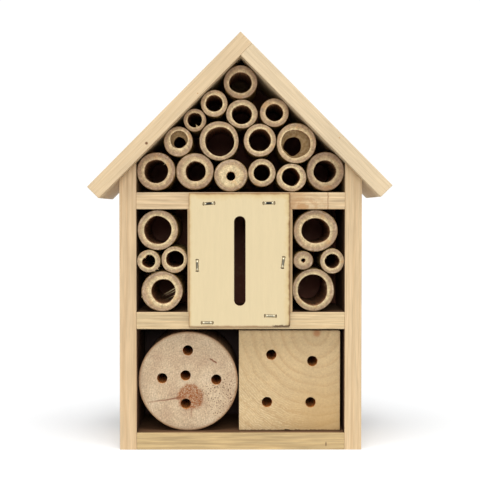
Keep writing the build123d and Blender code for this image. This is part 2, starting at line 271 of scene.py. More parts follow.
# %% [markdown]
# ## Raw planed pine
# Pine is pale cream with thin, darker bands of late wood, one for each year, wrapped round the
# tree's heart. A board is a straight cut through those shells. Stripes painted on each face would
# never meet at the corners, so the material is a solid one: it measures how far each point lies
# from the heart line and draws the yearly rings there, and the front edge, the faces and the sawn
# ends of a board all agree. It is planed but not sealed, so it is quite rough and has no varnish
# shine. Real fibres are 0.03 mm wide and wouldn't show, so they are drawn 0.4 mm wide.

# %% Planed pine, as a solid
GRAIN_UP = (0, 0, 0)
GRAIN_ACROSS = (0, -math.pi / 2, 0)
GRAIN_BACK = (-math.pi / 2, 0, 0)
# waves to a millimetre: twice across the grain, then along it
TRUNK_BEND = (0.022, 0.022, 0.004)      # the trunk leans over 45 mm across and 250 mm along
FIBRES = (2.6, 2.6, 0.05)               # 0.4 mm wide, 20 mm long
PLANER_STREAKS = (0.55, 0.55, 0.035)    # 1.8 mm wide, 30 mm long
WEATHER_PATCHES = (0.05, 0.05, 0.012)   # 20 mm wide, 80 mm long
SUMMERS = 0.09                          # ring width drifts every 11 mm
BEND_MM = 16.0
DRIFT_MM = 7.0


def late_wood(tree, distance, ring_mm, slow, peak):
    """The dark part of each ring: it darkens slowly up to `slow`, fast up to `peak`, then stops."""
    ring = add_node(tree, "Math", {"operation": "DIVIDE", 1: ring_mm}, {0: distance})
    phase = add_node(tree, "Math", {"operation": "FRACT"}, {0: ring.outputs[0]})
    stops = [(at, (dark, dark, dark, 1)) for at, dark in ((0.0, 0), slow, (peak, 1), (1.0, 0))]
    return add_node(tree, "ValToRGB", {"stops": stops}, {"Fac": phase.outputs[0]}).outputs[0]


def pine(
    name, turn, heart_mm, ring_mm, early, late, rough=0.62, contrast=0.5, knots=(), stain_and_shade=None, streaky=1.0
):
    """Solid pine. `turn` brings the grain onto Z, and heart_mm is the heart line's place after it."""
    material, tree, shader, place_mm = new_material(name)
    turned = add_node(tree, "Mapping", {"vector_type": "POINT", "Rotation": turn}, {"Vector": place_mm})
    turned = turned.outputs[0]
    from_heart = add_node(tree, "VectorMath", {"operation": "SUBTRACT", 1: (*heart_mm, 0)}, {0: turned})
    across = add_node(tree, "VectorMath", {"operation": "MULTIPLY", 1: (1, 1, 0)}, {0: from_heart.outputs[0]})
    radius = add_node(tree, "VectorMath", {"operation": "LENGTH"}, {0: across.outputs[0]}).outputs["Value"]
    bent = ragged(tree, radius, streaks(tree, turned, TRUNK_BEND, 2.0, 0.5), BEND_MM)
    # good and bad summers: the ring width itself drifts with the radius
    summer = add_node(tree, "Math", {"operation": "MULTIPLY", 1: SUMMERS}, {0: bent})
    slow_noise = {"noise_dimensions": "1D", "Scale": 1.0, "Detail": 1.0}
    drift = add_node(tree, "TexNoise", slow_noise, {"W": summer.outputs[0]})
    years = ragged(tree, bent, drift.outputs[0], DRIFT_MM)
    dark_part = late_wood(tree, years, ring_mm, (0.45, 0.12), 0.86)
    fibre = streaks(tree, turned, FIBRES)
    streak = streaks(tree, turned, PLANER_STREAKS)
    patch = streaks(tree, turned, WEATHER_PATCHES, 2.0, 0.5)
    # each ring shows more or less strongly along the board
    strength = add_node(
        tree, "MapRange", {"From Min": 0.3, "From Max": 0.7, "To Min": contrast * 0.35, "To Max": contrast},
        {"Value": patch},
    )
    amount = add_node(tree, "Math", {"operation": "MULTIPLY"}, {0: dark_part, 1: strength.outputs[0]})
    wood = add_node(
        tree, "Mix", {"data_type": "RGBA", 6: linear(early), 7: linear(late)}, {0: amount.outputs[0]}
    )
    colour = dappled(tree, wood.outputs[2], [
        (fibre, 0.25, 0.75, 0.86, 1.12),
        (patch, 0.3, 0.7, 0.93, 1.06),
        (streak, 0.3, 0.7, 1 - 0.1 * streaky, 1 + 0.09 * streaky),
    ])
    for at, size, dark in knots:
        away = add_node(tree, "VectorMath", {"operation": "DISTANCE", 1: at}, {0: place_mm}).outputs["Value"]
        colour = stained(tree, colour, between(tree, away, NO_LOW, size * 0.35, size * 0.65), dark)
    if stain_and_shade:
        colour = stain_and_shade(tree, place_mm, colour)
    height = ragged(tree, fibre, dark_part, -0.5)
    dress(tree, shader, colour, height, 0.35, 0.12, rough, 0.35)
    return material


print("fibres drawn", round(1 / FIBRES[0], 2), "mm wide and", 1 / FIBRES[2], "mm long")

# %% [markdown]
# ## Meshes from lists
# Most pieces below are worked out point by point. A primitive with modifiers would be quicker, but
# real boards and canes are all slightly uneven, and that is easiest to say in numbers. One function
# turns lists of points and faces into an object, one stores a value on each point for a material to
# read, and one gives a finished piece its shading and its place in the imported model.

# %% Link, store and finish


def link_mesh(name, vertices, faces, materials, face_material=None):
    """A mesh object from lists, with its faces turned outwards."""
    mesh = bpy.data.meshes.new(name)
    mesh.from_pydata([tuple(v) for v in vertices], [], faces)
    for material in materials:
        mesh.materials.append(material)
    if face_material is not None:
        mesh.polygons.foreach_set("material_index", face_material)
    shell = bmesh.new()
    shell.from_mesh(mesh)
    bmesh.ops.recalc_face_normals(shell, faces=shell.faces)
    shell.to_mesh(mesh)
    shell.free()
    piece = bpy.data.objects.new(name, mesh)
    scene.collection.objects.link(piece)
    return piece


def store(piece, name, kind, values):
    """Stores one value or one vector for each point, for a material to read."""
    attribute = piece.data.attributes.new(name, kind, "POINT")
    field = "vector" if kind == "FLOAT_VECTOR" else "value"
    attribute.data.foreach_set(field, np.array(values, float).ravel())


def finish_piece(piece, nodes, smooth_angle=38):
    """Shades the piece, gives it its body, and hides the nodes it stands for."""
    piece.data.shade_smooth()
    piece.data.set_sharp_from_angle(angle=math.radians(smooth_angle))
    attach(piece, "root")
    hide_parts(*nodes)


def node_box_mm(node_name):
    """A CAD node's lowest and highest corners, in millimetres."""
    low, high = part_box(node_name)
    return [c / MM for c in low], [c / MM for c in high]


def upright_corners(low, high):
    """The four XZ corners of a box, from the lower left one, clockwise as seen from the front."""
    return [(low[0], low[2]), (low[0], high[2]), (high[0], high[2]), (high[0], low[2])]


print("floor board in mm:", [[round(c, 1) for c in corner] for corner in node_box_mm("floor_board")])

# %% [markdown]
# ## A board that was planed by machine
# A plain box has arrises sharper than any real wood. A planed board's are eased by handling, a bit
# more here and less there, and a few are chipped. A bevel modifier would ease them all alike, so the
# board is built as a grid over a box whose edges are pulled onto a small radius, and that radius
# wanders along the edge and grows at a chip. The box is then laid between four corners, which gives
# the bevelled ends that meet the roof.

# %% Make a board
EASE_STEPS = (0.3, 0.7, 1.1)    # rows of points near an edge, over the eased width
EASE_WIDTH = 1.6                # how far a row's easing reaches, over its radius


def steps(length, fine, pitch):
    """Distances along an edge: close together by the ends, and about `pitch` apart between."""
    near = [0.0] + [fine * share for share in EASE_STEPS]
    middle = np.linspace(fine * 2.2, length - fine * 2.2, max(2, round(length / pitch)))
    return np.array(near + list(middle) + [length - d for d in reversed(near)])


def box_grid(axes):
    """Points and faces of a box's skin, with a grid of the given steps on each axis."""
    index = {}
    points = []
    faces = []
    last = [len(a) - 1 for a in axes]
    for side in range(3):
        u, v = [a for a in range(3) if a != side]
        for end in (0, last[side]):
            for i in range(last[u]):
                for j in range(last[v]):
                    quad = []
                    for di, dj in ((0, 0), (1, 0), (1, 1), (0, 1)):
                        at = [0, 0, 0]
                        at[side], at[u], at[v] = end, i + di, j + dj
                        if tuple(at) not in index:
                            index[tuple(at)] = len(points)
                            points.append([axes[a][at[a]] for a in range(3)])
                        quad.append(index[tuple(at)])
                    outward = (end > 0) != (side == 1)
                    faces.append(quad if outward else quad[::-1])
    return np.array(points), faces


print("rows near an edge:", len(EASE_STEPS) + 1)

# %% [markdown]
# ## Arrises
# Now the points near an edge are pulled onto its radius. A bevel gives one radius to a whole edge,
# but here it is worked out for each point, so it can wander by half and grow at a chip.

# %% Ease and lay a board


def laid(corner, along, up):
    """The XZ place between four corners, at a share of the length and of the thickness."""
    lower = corner[0] * (1 - along) + corner[1] * along
    upper = corner[3] * (1 - along) + corner[2] * along
    return lower * (1 - up) + upper * up


def eased_radius(place, ease, chips, seed):
    """The radius of the nearest arris: it wanders by half, and grows at a chip."""
    radius = ease * (1.0 + 0.55 * noise.noise(place * 0.11 + Vector((seed, 0, 0))))
    radius += ease * 0.5 * max(0.0, noise.noise(place * 0.6 + Vector((0, seed, 0))))
    for at, spread, depth in chips:
        gap = (place - Vector(at)).length / spread
        if gap < 1:
            radius += depth * (1 - gap) * (0.6 + 0.8 * abs(noise.noise(place * 1.7)))
    return radius


def board(name, corners, front, back, materials, ease=0.45, chips=(), pitch=4.0, seed=0):
    """A board between four XZ corners in mm, from front to back, with eased and chipped arrises.

    corners go round the board's edge as seen from the front: the first two lie along its length.
    """
    corner = [np.array(c, float) for c in corners]
    length = np.linalg.norm(corner[1] - corner[0]) / 2 + np.linalg.norm(corner[2] - corner[3]) / 2
    thick = np.linalg.norm(corner[3] - corner[0]) / 2 + np.linalg.norm(corner[2] - corner[1]) / 2
    size = np.array([length, thick, back - front])
    points, faces = box_grid([steps(s, ease * EASE_WIDTH, pitch) for s in size])
    vertices = []
    for p in points:
        x, z = laid(corner, p[0] / length, p[1] / thick)
        radius = eased_radius(Vector((x, front + p[2], z)), ease, chips, seed)
        inner = np.clip(p, radius, size - radius)
        away = p - inner
        distance = np.linalg.norm(away)
        rounded = inner + away * (radius / distance) if distance > 1e-9 else p
        x, z = laid(corner, rounded[0] / length, rounded[1] / thick)
        vertices.append((x * MM, (front + rounded[2]) * MM, z * MM))
    return link_mesh(name, vertices, faces, materials)


print("board steps over 12 mm:", len(steps(12.0, 0.7, 4.0)))

# %% [markdown]
# ## Drilling and cutting
# Holes, grooves and dents are cut after a piece is shaped, as they are in the workshop. A boolean
# modifier does it: the cutter is a closed solid, and its own material lines the cut, so a drilled
# hole can be darker than the face. The result is then written into the mesh and the cutter thrown
# away. Modelling each hole's rim by hand would give a neater net, but takes far more code.

# %% Make a cut


def cut(piece, cutters):
    """Cuts every cutter out of the piece and throws the cutters away."""
    for cutter in cutters:
        change = piece.modifiers.new("cut", "BOOLEAN")
        change.operation = "DIFFERENCE"
        change.solver = "EXACT"
        change.object = cutter
        change.material_mode = "TRANSFER"
    bpy.context.view_layer.update()
    graph = bpy.context.evaluated_depsgraph_get()
    mesh = bpy.data.meshes.new_from_object(piece.evaluated_get(graph))
    piece.modifiers.clear()
    old = piece.data
    piece.data = mesh
    bpy.data.meshes.remove(old)
    mesh.name = piece.name
    for cutter in cutters:
        bpy.data.objects.remove(cutter)


def prism(name, foot, top, material):
    """A closed cutter between two outlines with the same number of points."""
    n = len(foot)
    sides = [[i, (i + 1) % n, n + (i + 1) % n, n + i] for i in range(n)]
    ends = [list(range(n))[::-1], list(range(n, 2 * n))]
    return link_mesh(name, list(foot) + list(top), sides + ends, [material])


def rod(name, start, end, radius, material, sides=40, wobble=0.0, seed=0):
    """A closed rod between two points in metres, used as a drill to cut holes with."""
    start, end = Vector(start), Vector(end)
    turn = (end - start).to_track_quat("Z", "Y")
    rim = []
    for i in range(sides):
        angle = 2 * math.pi * i / sides
        r = radius * (1 + wobble * noise.noise(Vector((2 * math.cos(angle), 2 * math.sin(angle), seed))))
        rim.append(turn @ Vector((r * math.cos(angle), r * math.sin(angle), 0)))
    return prism(name, [start + p for p in rim], [end + p for p in rim], material)


print("cutters are closed solids, and their own material lines the cut")

# %% [markdown]
# ## Bright nails and galvanised staples
# The nails are plain bright steel wire, drawn smooth, and the staples are flattened galvanised wire:
# zinc gives them a duller grey, painted warm as a reflection of the wood around it, and a dark
# reflection is painted along the middle of the crown. Both are metals, so their colour is the colour of
# their reflection. A scratched look could come from an image, but a little noise in the gloss is enough
# at this size, and the painted dark reflection is stored on the wire's own points, where it can't slip.

# %% Steel and zinc
GRIT = 3.5                      # scratches 0.3 mm apart


def wire_metal(name, colour, reflected_dark, rough):
    """Drawn wire: fine scratches make the gloss uneven, and a dark reflection painted on the points darkens
    it.
    """
    material, tree, shader, place_mm = new_material(name)
    grit = add_node(tree, "TexNoise", {"Scale": GRIT, "Detail": 4.0}, {"Vector": place_mm})
    scuff = add_node(tree, "Attribute", {"attribute_name": "scuff"})
    metal = add_node(
        tree, "Mix", {"data_type": "RGBA", 6: linear(colour), 7: linear(reflected_dark)}, {0: scuff.outputs["Fac"]}
    )
    gloss = add_node(
        tree, "MapRange", {"To Min": rough - 0.1, "To Max": rough + 0.15}, {"Value": grit.outputs[0]}
    )
    bump = add_node(tree, "Bump", {"Strength": 0.3, "Distance": 0.03 * MM}, {"Height": grit.outputs[0]})
    tree.links.new(metal.outputs[2], shader.inputs["Base Color"])
    tree.links.new(gloss.outputs[0], shader.inputs["Roughness"])
    tree.links.new(bump.outputs[0], shader.inputs["Normal"])
    shader.inputs["Metallic"].default_value = 1.0
    return material


bright_steel = wire_metal("bright_drawn_steel", "A8A6A2", "6E6C69", 0.38)
# the zinc's warm colour is a painted reflection of the wood round it
zinc_wire = wire_metal("galvanised_flat_wire", "CDC3A6", "2E2E2C", 0.36)
print("metals:", bright_steel.name, "and", zinc_wire.name)

# %% [markdown]
# ## Where the nails are
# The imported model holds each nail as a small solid, and several nails share a node. Typing their
# places in again would invite mistakes. So the node's mesh is sorted into islands, the groups of
# points that edges join, and each nail's head is found at the island's outer end.

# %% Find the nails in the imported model
ROOF_PITCH = math.radians(45.2)


def islands(node_name):
    """The separate solids of a CAD node, each as an array of its points in metres."""
    mesh = frame["nodes"][node_name].data
    points = np.array([v.co for v in mesh.vertices])
    joined = {}
    first = {}
    for i, p in enumerate(np.round(points, 6)):
        first.setdefault(tuple(p), i)
        joined[i] = first[tuple(p)]

    def root(i):
        """The first point of the island that point i is in."""
        while joined[i] != i:
            joined[i] = joined[joined[i]]
            i = joined[i]
        return i

    for edge in mesh.edges:
        a, b = root(edge.vertices[0]), root(edge.vertices[1])
        if a != b:
            joined[a] = b
    groups = {}
    for i in range(len(points)):
        groups.setdefault(root(i), []).append(i)
    return [points[g] for g in groups.values()]


def nail_heads(node_name, outward, wanted=lambda head: True):
    """(head middle, outward direction) of each nail of a node that faces that way."""
    way = np.array(outward, float)
    way /= np.linalg.norm(way)
    heads = []
    for solid in islands(node_name):
        reach_out = solid @ way
        top = solid[reach_out > reach_out.max() - 0.05 * MM]
        head_width = np.linalg.norm(top.max(axis=0) - top.min(axis=0))
        middle = Vector(top.mean(axis=0))
        if 1.5 * MM < head_width < 5 * MM and np.ptp(reach_out) > 15 * MM and wanted(middle):
            heads.append((middle, Vector(way)))
    return heads


left_out = (-math.sin(ROOF_PITCH), 0, math.cos(ROOF_PITCH))
right_out = (math.sin(ROOF_PITCH), 0, math.cos(ROOF_PITCH))
HEADS = {                       # the board that the heads are in
    "left_side_board": nail_heads("side_nails", (-1, 0, 0), lambda head: head.x < 0),
    "right_side_board": nail_heads("side_nails", (1, 0, 0), lambda head: head.x > 0),
    "upper_shelf": nail_heads("divider_nails", (0, 0, 1), lambda head: head.z > 0.18),
    "lower_shelf": nail_heads("divider_nails", (0, 0, -1), lambda head: head.z < 0.1),
    "floor_board": nail_heads("block_nails", (0, 0, -1)),
    "left_roof_board": nail_heads("roof_nails", left_out, lambda head: head.x < 0.002),
    "right_roof_board": nail_heads("roof_nails", right_out, lambda head: head.x > 0.002),
}
print("nail heads:", {name: len(heads) for name, heads in HEADS.items()})

# %% [markdown]
# ## The nails
# A brad has a small flat head and a thin shank. It could be a cylinder with a wider disc on top, but
# a real head has a soft rim, so it is turned as a lathe would turn it: a profile of radius and depth,
# carried round the nail's axis. It sits a quarter of a millimetre under the surface, in the dent that
# the hammer and the punch leave.

# %% Make the nails
NAIL_PROFILE_MM = [             # radius, depth below the wood's surface
    (0.0, 0.22), (0.7, 0.22), (1.25, 0.26), (1.46, 0.34), (1.5, 0.5), (1.42, 0.75), (0.8, 0.95), (0.8, 21.0),
    (0.45, 22.0), (0.0, 22.6),
]
NAIL_SIDES = 20
DENT_RADIUS = 1.75 * MM
DENT_DEPTH = 0.95 * MM


def turned_nails(name, heads, node_name):
    """All the nails of one node, as separate closed solids in one piece."""
    vertices = []
    faces = []
    rings = len(NAIL_PROFILE_MM) - 2
    for middle, way in heads:
        turn = way.to_track_quat("Z", "Y")
        start = len(vertices)
        vertices.append(middle - way * NAIL_PROFILE_MM[0][1] * MM)
        for radius, depth in NAIL_PROFILE_MM[1:-1]:
            for i in range(NAIL_SIDES):
                angle = 2 * math.pi * i / NAIL_SIDES
                rim = Vector((radius * math.cos(angle), radius * math.sin(angle), -depth)) * MM
                vertices.append(middle + turn @ rim)
        vertices.append(middle - way * NAIL_PROFILE_MM[-1][1] * MM)
        tip = len(vertices) - 1
        for i in range(NAIL_SIDES):
            after = (i + 1) % NAIL_SIDES
            faces.append([start, start + 1 + i, start + 1 + after])
            for ring in range(rings - 1):
                a = start + 1 + ring * NAIL_SIDES
                faces.append([a + i, a + NAIL_SIDES + i, a + NAIL_SIDES + after, a + after])
            a = start + 1 + (rings - 1) * NAIL_SIDES
            faces.append([a + i, tip, a + after])
    piece = link_mesh(name, vertices, faces, [bright_steel])
    finish_piece(piece, [node_name])


def with_dents(piece, heads):
    """Cuts the dents that the heads lie in. Their walls are the board's own wood."""
    wood = piece.data.materials[0]
    cut(piece, [
        rod("dent", m + w * 0.3 * MM, m - w * DENT_DEPTH, DENT_RADIUS, wood, sides=24, wobble=0.25, seed=i)
        for i, (m, w) in enumerate(heads)
    ])


turned_nails("side_nail_heads", HEADS["left_side_board"] + HEADS["right_side_board"], "side_nails")
turned_nails("divider_nail_heads", HEADS["upper_shelf"] + HEADS["lower_shelf"], "divider_nails")
turned_nails("block_nail_heads", HEADS["floor_board"], "block_nails")
turned_nails("roof_nail_heads", HEADS["left_roof_board"] + HEADS["right_roof_board"], "roof_nails")
print("nail profile:", len(NAIL_PROFILE_MM), "points")

# %% [markdown]
# ## Stains and painted shade on the frame boards
# The frame boards are planed where they show, and the faces inside the cells are painted dark reddish
# brown as shade. The upper shelf has a brown swirl by a knot, a fine check across it and a darker
# end, and the floor board a dark dent. Each could be a material of its own, but then the grain would
# break at its edge. A stain or painted shade is laid over the same solid pine instead, where its mask is 1.

# %% Stain the boards
FRONT_Y_MM = node_box_mm("left_side_board")[0][1]
FLOOR_TOP_MM = node_box_mm("floor_board")[1][2]
UPPER_SHELF_MM = 175.0          # the painted shade inside the cells ends at the upper shelf
INNER_X = (node_box_mm("left_side_board")[1][0] - 0.2, node_box_mm("right_side_board")[0][0] + 0.2)
SHADE_START_MM = 3.2               # the painted shade starts this far in from the front
CHECK_X = 63.7
SWIRL_AT = (46.0, 176.5)
SWIRL_BANDS = [(0.0, 6.2, 1.6, 0.7), (9.6, 10.6, 1.2, 0.4), (13.4, 14.0, 1.2, 0.22)]
FLOOR_MARK_AT = (62.6, FRONT_Y_MM, 4.1)


def shade_inside_cells(tree, place_mm, colour):
    """Painted shade: the faces inside the cells are painted dark reddish brown."""
    parts = add_node(tree, "SeparateXYZ", {}, {0: place_mm}).outputs
    mask = between(tree, parts["Y"], FRONT_Y_MM + SHADE_START_MM, NO_HIGH, 2.6)
    mask = between(tree, parts["X"], INNER_X[0], INNER_X[1], 0.1, within=mask)
    mask = between(tree, parts["Z"], FLOOR_TOP_MM - 0.3, UPPER_SHELF_MM, 0.1, within=mask)
    # painted shade: dark reddish brown over the faces inside the cells
    return stained(tree, colour, mask, "4E2815", 0.86)


def upper_shelf_figure(tree, place_mm, colour):
    """A brown swirl by a knot, a fine check across the board, and a dark end."""
    parts = add_node(tree, "SeparateXYZ", {}, {0: place_mm}).outputs
    bumpy = {"Scale": 0.35, "Detail": 4.0, "Roughness": 0.65}
    rough = add_node(tree, "TexNoise", bumpy, {"Vector": place_mm})
    across = ragged(tree, parts["X"], rough.outputs[0], 1.3)
    check = between(tree, across, CHECK_X + 0.45, CHECK_X + 0.85, 0.35)
    colour = stained(tree, colour, check, "8A5E38", 0.7)
    middle = (SWIRL_AT[0], 0, SWIRL_AT[1])
    swirl = add_node(tree, "VectorMath", {"operation": "SUBTRACT", 1: middle}, {0: place_mm})
    swirl = add_node(tree, "VectorMath", {"operation": "MULTIPLY", 1: (0.62, 0, 1.0)}, {0: swirl.outputs[0]})
    away = add_node(tree, "VectorMath", {"operation": "LENGTH"}, {0: swirl.outputs[0]}).outputs["Value"]
    away = ragged(tree, away, rough.outputs[0], 9.0)
    for inner, outer, soft, amount in SWIRL_BANDS:
        colour = stained(tree, colour, between(tree, away, inner, outer, soft), "A5784A", amount)
    brown_end = between(tree, parts["X"], 15.0, SWIRL_AT[0] - 2.0, 7.0)
    return shade_inside_cells(tree, place_mm, stained(tree, colour, brown_end, "AC8355", 0.42))


def floor_mark(tree, place_mm, colour):
    """A dark dent low on the front edge."""
    away = add_node(tree, "VectorMath", {"operation": "SUBTRACT", 1: FLOOR_MARK_AT}, {0: place_mm})
    away = add_node(tree, "VectorMath", {"operation": "MULTIPLY", 1: (1.3, 0.3, 0.45)}, {0: away.outputs[0]})
    away = add_node(tree, "VectorMath", {"operation": "LENGTH"}, {0: away.outputs[0]}).outputs["Value"]
    mark = between(tree, away, NO_LOW, 0.4, 0.6)
    return shade_inside_cells(tree, place_mm, stained(tree, colour, mark, "5A4028", 0.75))


# the painted shade inside the cells starts this far back
print("rough faces from", round(FRONT_Y_MM + SHADE_START_MM, 1), "mm back")

# %% [markdown]
# ## Side boards, floor, shelves and dividers
# All seven come from the same 12 mm stock. The side boards run up to the roof, and their tops are
# bevelled to its pitch. One pine material would be enough, but then the boards would look like one
# block cut up. So each gets its own: the same species, cut at a different distance from the heart,
# and no two show the same lines. The floor board is the darkest piece of the stock.

# %% Cut the frame boards
EARLY_PINE = "C3AC85"
LATE_PINE = "A9855A"
SIDE_WOOD = {                   # heart line, ring width, seed, early wood
    "left_side_board": ((-150.0, 40.0), 2.6, 3, "C5AA85"),
    "right_side_board": ((160.0, -20.0), 2.9, 8, "CBB18B"),
}
SHELF_WOOD = {                  # heart line, ring width, seed, early wood, late wood, stain and painted shade
    "floor_board": ((95.0, 60.0), 2.2, 5, "B59C70", "967444", floor_mark),
    "lower_shelf": ((40.0, -170.0), 1.9, 6, EARLY_PINE, LATE_PINE, shade_inside_cells),
    "upper_shelf": ((260.0, 90.0), 3.1, 7, "C5AC87", "A8835A", upper_shelf_figure),
}
DIVIDER_WOOD = {"left_divider": ((-40.0, 80.0), 11), "right_divider": ((20.0, 80.0), 12)}

for name, (heart, ring, seed, early) in SIDE_WOOD.items():
    low, high = node_box_mm(name)
    corners = upright_corners(low, high)
    eave = 1 if low[0] < 0 else 2
    corners[eave] = (corners[eave][0], high[2] - (high[0] - low[0]) * math.tan(ROOF_PITCH))
    wood = pine("planed_pine_" + name, GRAIN_UP, heart, ring, early, LATE_PINE, stain_and_shade=shade_inside_cells)
    piece = board(name + "_wood", corners, low[1], high[1], [wood], seed=seed)
    with_dents(piece, HEADS[name])
    finish_piece(piece, [name])

for name, (heart, ring, seed, early, late, stain_and_shade) in SHELF_WOOD.items():
    low, high = node_box_mm(name)
    wood = pine(
        "planed_pine_" + name, GRAIN_ACROSS, heart, ring, early, late, contrast=0.4, stain_and_shade=stain_and_shade, streaky=2.2
    )
    piece = board(name + "_wood", upright_corners(low, high), low[1], high[1], [wood], seed=seed)
    with_dents(piece, HEADS[name])
    finish_piece(piece, [name])

for name, (heart, seed) in DIVIDER_WOOD.items():
    low, high = node_box_mm(name)
    wood = pine("planed_pine_" + name, GRAIN_UP, heart, 2.4, "B99E76", "967345")
    piece = board(name + "_wood", upright_corners(low, high), low[1], high[1], [wood], seed=seed)
    finish_piece(piece, [name])
print("frame boards:", len(SIDE_WOOD) + len(SHELF_WOOD) + len(DIVIDER_WOOD))

# %% [markdown]
# ## The roof
# Two boards at a right angle. Mitred ends would need an exact saw, so the left board simply runs up
# to the ridge and laps over the end of the right one, and a line of end grain shows near the ridge.
# The grain runs down each slope. A board laid flat and then rotated would carry its grain with it,
# but here the boards are built in place, so the solid wood is turned by the roof's pitch instead.

# %% Cut the roof boards
ROOF_T = 11.8
ROOF_WOOD = {                   # turn of the grain, heart line, ring width, early and late wood
    "left_roof_board": ((0, ROOF_PITCH - math.pi / 2, 0), (-130.0, 70.0), 3.0, "CCB490", "AF8F65"),
    "right_roof_board": ((0, math.pi / 2 - ROOF_PITCH, 0), (150.0, -60.0), 2.8, "D0BB99", "B3946B"),
}
ROOF_FIGURE = {                 # contrast of the rings, strength of the streaks, and knots
    "left_roof_board": (
        0.32, 0.6, [((-66.5, -46.0, 221.6), 1.5, "6B4626"), ((-30.0, -46.0, 257.0), 0.7, "B48B5C")],
    ),
    "right_roof_board": (0.36, 0.8, [((71.0, -46.0, 225.5), 0.7, "B48B5C")]),
}
left_low, left_high = node_box_mm("left_roof_board")
right_high = node_box_mm("right_roof_board")[1]
lap_slope = ROOF_T / math.sin(math.pi - 2 * ROOF_PITCH)
ridge = np.array([left_high[0] - lap_slope * math.cos(ROOF_PITCH), left_high[2]])
left_slope = (ridge[0] - left_low[0]) / math.cos(ROOF_PITCH)
right_slope = (right_high[0] - ridge[0]) / math.cos(ROOF_PITCH)


def on_slope(along, below, side):
    """A point `along` the slope from the ridge and `below` its outer face; side -1 is left."""
    x = ridge[0] + side * (along * math.cos(ROOF_PITCH) - below * math.sin(ROOF_PITCH))
    return (x, ridge[1] - along * math.sin(ROOF_PITCH) - below * math.cos(ROOF_PITCH))


lap = on_slope(lap_slope, 0, 1)
inner_ridge = (ridge[0], ridge[1] - ROOF_T / math.cos(ROOF_PITCH))
roof_corners = {
    "left_roof_board": [on_slope(left_slope, ROOF_T, -1), on_slope(left_slope, 0, -1), tuple(ridge), lap],
    "right_roof_board": [inner_ridge, lap, on_slope(right_slope, 0, 1), on_slope(right_slope, ROOF_T, 1)],
}
for seed, name in enumerate(ROOF_WOOD, start=21):
    turn, heart, ring, early, late = ROOF_WOOD[name]
    contrast, streaky, knots = ROOF_FIGURE[name]
    low, high = node_box_mm(name)
    wood = pine(
        "planed_pine_" + name.replace("_board", ""), turn, heart, ring, early, late, contrast=contrast,
        streaky=streaky, knots=knots,
    )
    piece = board(name + "_wood", roof_corners[name], low[1], high[1], [wood], seed=seed, ease=0.4)
    with_dents(piece, HEADS[name])
    finish_piece(piece, [name])
print("slopes in mm:", round(left_slope, 1), round(right_slope, 1))

# %% [markdown]
# ## Plywood
# The butterfly panel and the back are three-ply sheets of poplar, sanded. A peeled veneer has wide,
# faint figure instead of stripes, and the face is the palest wood on the hotel. At the edge the
# three plies show: two pale lines with a darker one between. The saw scorches and frays the edge, so
# brown tints run along it. Separate thin boards could make the plies, but they are 1 mm thick, so
# one solid material finds them by depth, and finds the scorching by the distance from each edge.

# %% Sanded plywood
VENEER = (0.45, 0.45, 0.04)     # waves to a millimetre: figure 2 mm wide and 25 mm long
FLECKS = (2.2, 2.2, 0.16)       # 0.5 mm wide and 6 mm long
CORE_HALF = 0.6                 # mm from the middle of the sheet, fading out by CORE_FADE
CORE_FADE = 0.25
FRAY = 0.22                     # the scorched edge wanders every 5 mm


def plywood(name, box_mm, face, core, edge_stains_and_shade, stain_and_shade=None):
    """Three-ply sheet lying in XZ. Each edge stain is an axis, a place, a reach, an amount and a tint; the
    back's paints shade on its inner face.
    """
    material, tree, shader, place_mm = new_material(name)
    low, high = box_mm
    figure = streaks(tree, place_mm, VENEER, 4.0, 0.55)
    fleck = streaks(tree, place_mm, FLECKS, 2.0, 0.5)
    parts = add_node(tree, "SeparateXYZ", {}, {0: place_mm}).outputs
    middle = (low[1] + high[1]) / 2
    ply = between(tree, parts["Y"], middle - CORE_HALF, middle + CORE_HALF, CORE_FADE)
    wood = add_node(tree, "Mix", {"data_type": "RGBA", 6: linear(face), 7: linear(core)}, {0: ply})
    colour = dappled(tree, wood.outputs[2], [
        (figure, 0.3, 0.7, 0.975, 1.02), (fleck, 0.3, 0.7, 0.985, 1.012),
    ])
    frayed = add_node(tree, "TexNoise", {"Scale": FRAY, "Detail": 4.0}, {"Vector": place_mm}).outputs[0]
    for axis, edge, reach_mm, amount, edge_tint in edge_stains_and_shade:
        gap = add_node(tree, "Math", {"operation": "SUBTRACT", 1: edge}, {0: parts[axis]})
        gap = add_node(tree, "Math", {"operation": "ABSOLUTE"}, {0: gap.outputs[0]})
        gap = ragged(tree, gap.outputs[0], frayed, -1.4 * reach_mm)
        by_edge = add_node(
            tree, "MapRange",
            {"interpolation_type": "SMOOTHSTEP", "From Min": reach_mm * 0.6, "From Max": -reach_mm * 0.7},
            {"Value": gap},
        )
        colour = stained(tree, colour, by_edge.outputs[0], edge_tint, amount)
    if stain_and_shade:
        colour = stain_and_shade(tree, place_mm, colour)
    height = add_node(tree, "Math", {"operation": "ADD"}, {0: fleck, 1: figure})
    dress(tree, shader, colour, height.outputs[0], 0.2, 0.08, 0.58, 0.35)
    return material


print("veneer figure", round(1 / VENEER[0], 1), "mm wide and", 1 / VENEER[2], "mm long")

# %% [markdown]
# ## The butterfly panel
# The panel is sawn from plywood and its lower right corner has broken away a little. A slot is
# routed in it with round ends, wide enough for folded wings. The sheet is a board like the others,
# only thinner and with chips, and the slot is cut by a solid of the router's path, so its walls take
# a darker, scorched material. A sheet modelled round the slot would save the cut, but then the eased
# edges and the staples' marks would have to be fitted round it too.

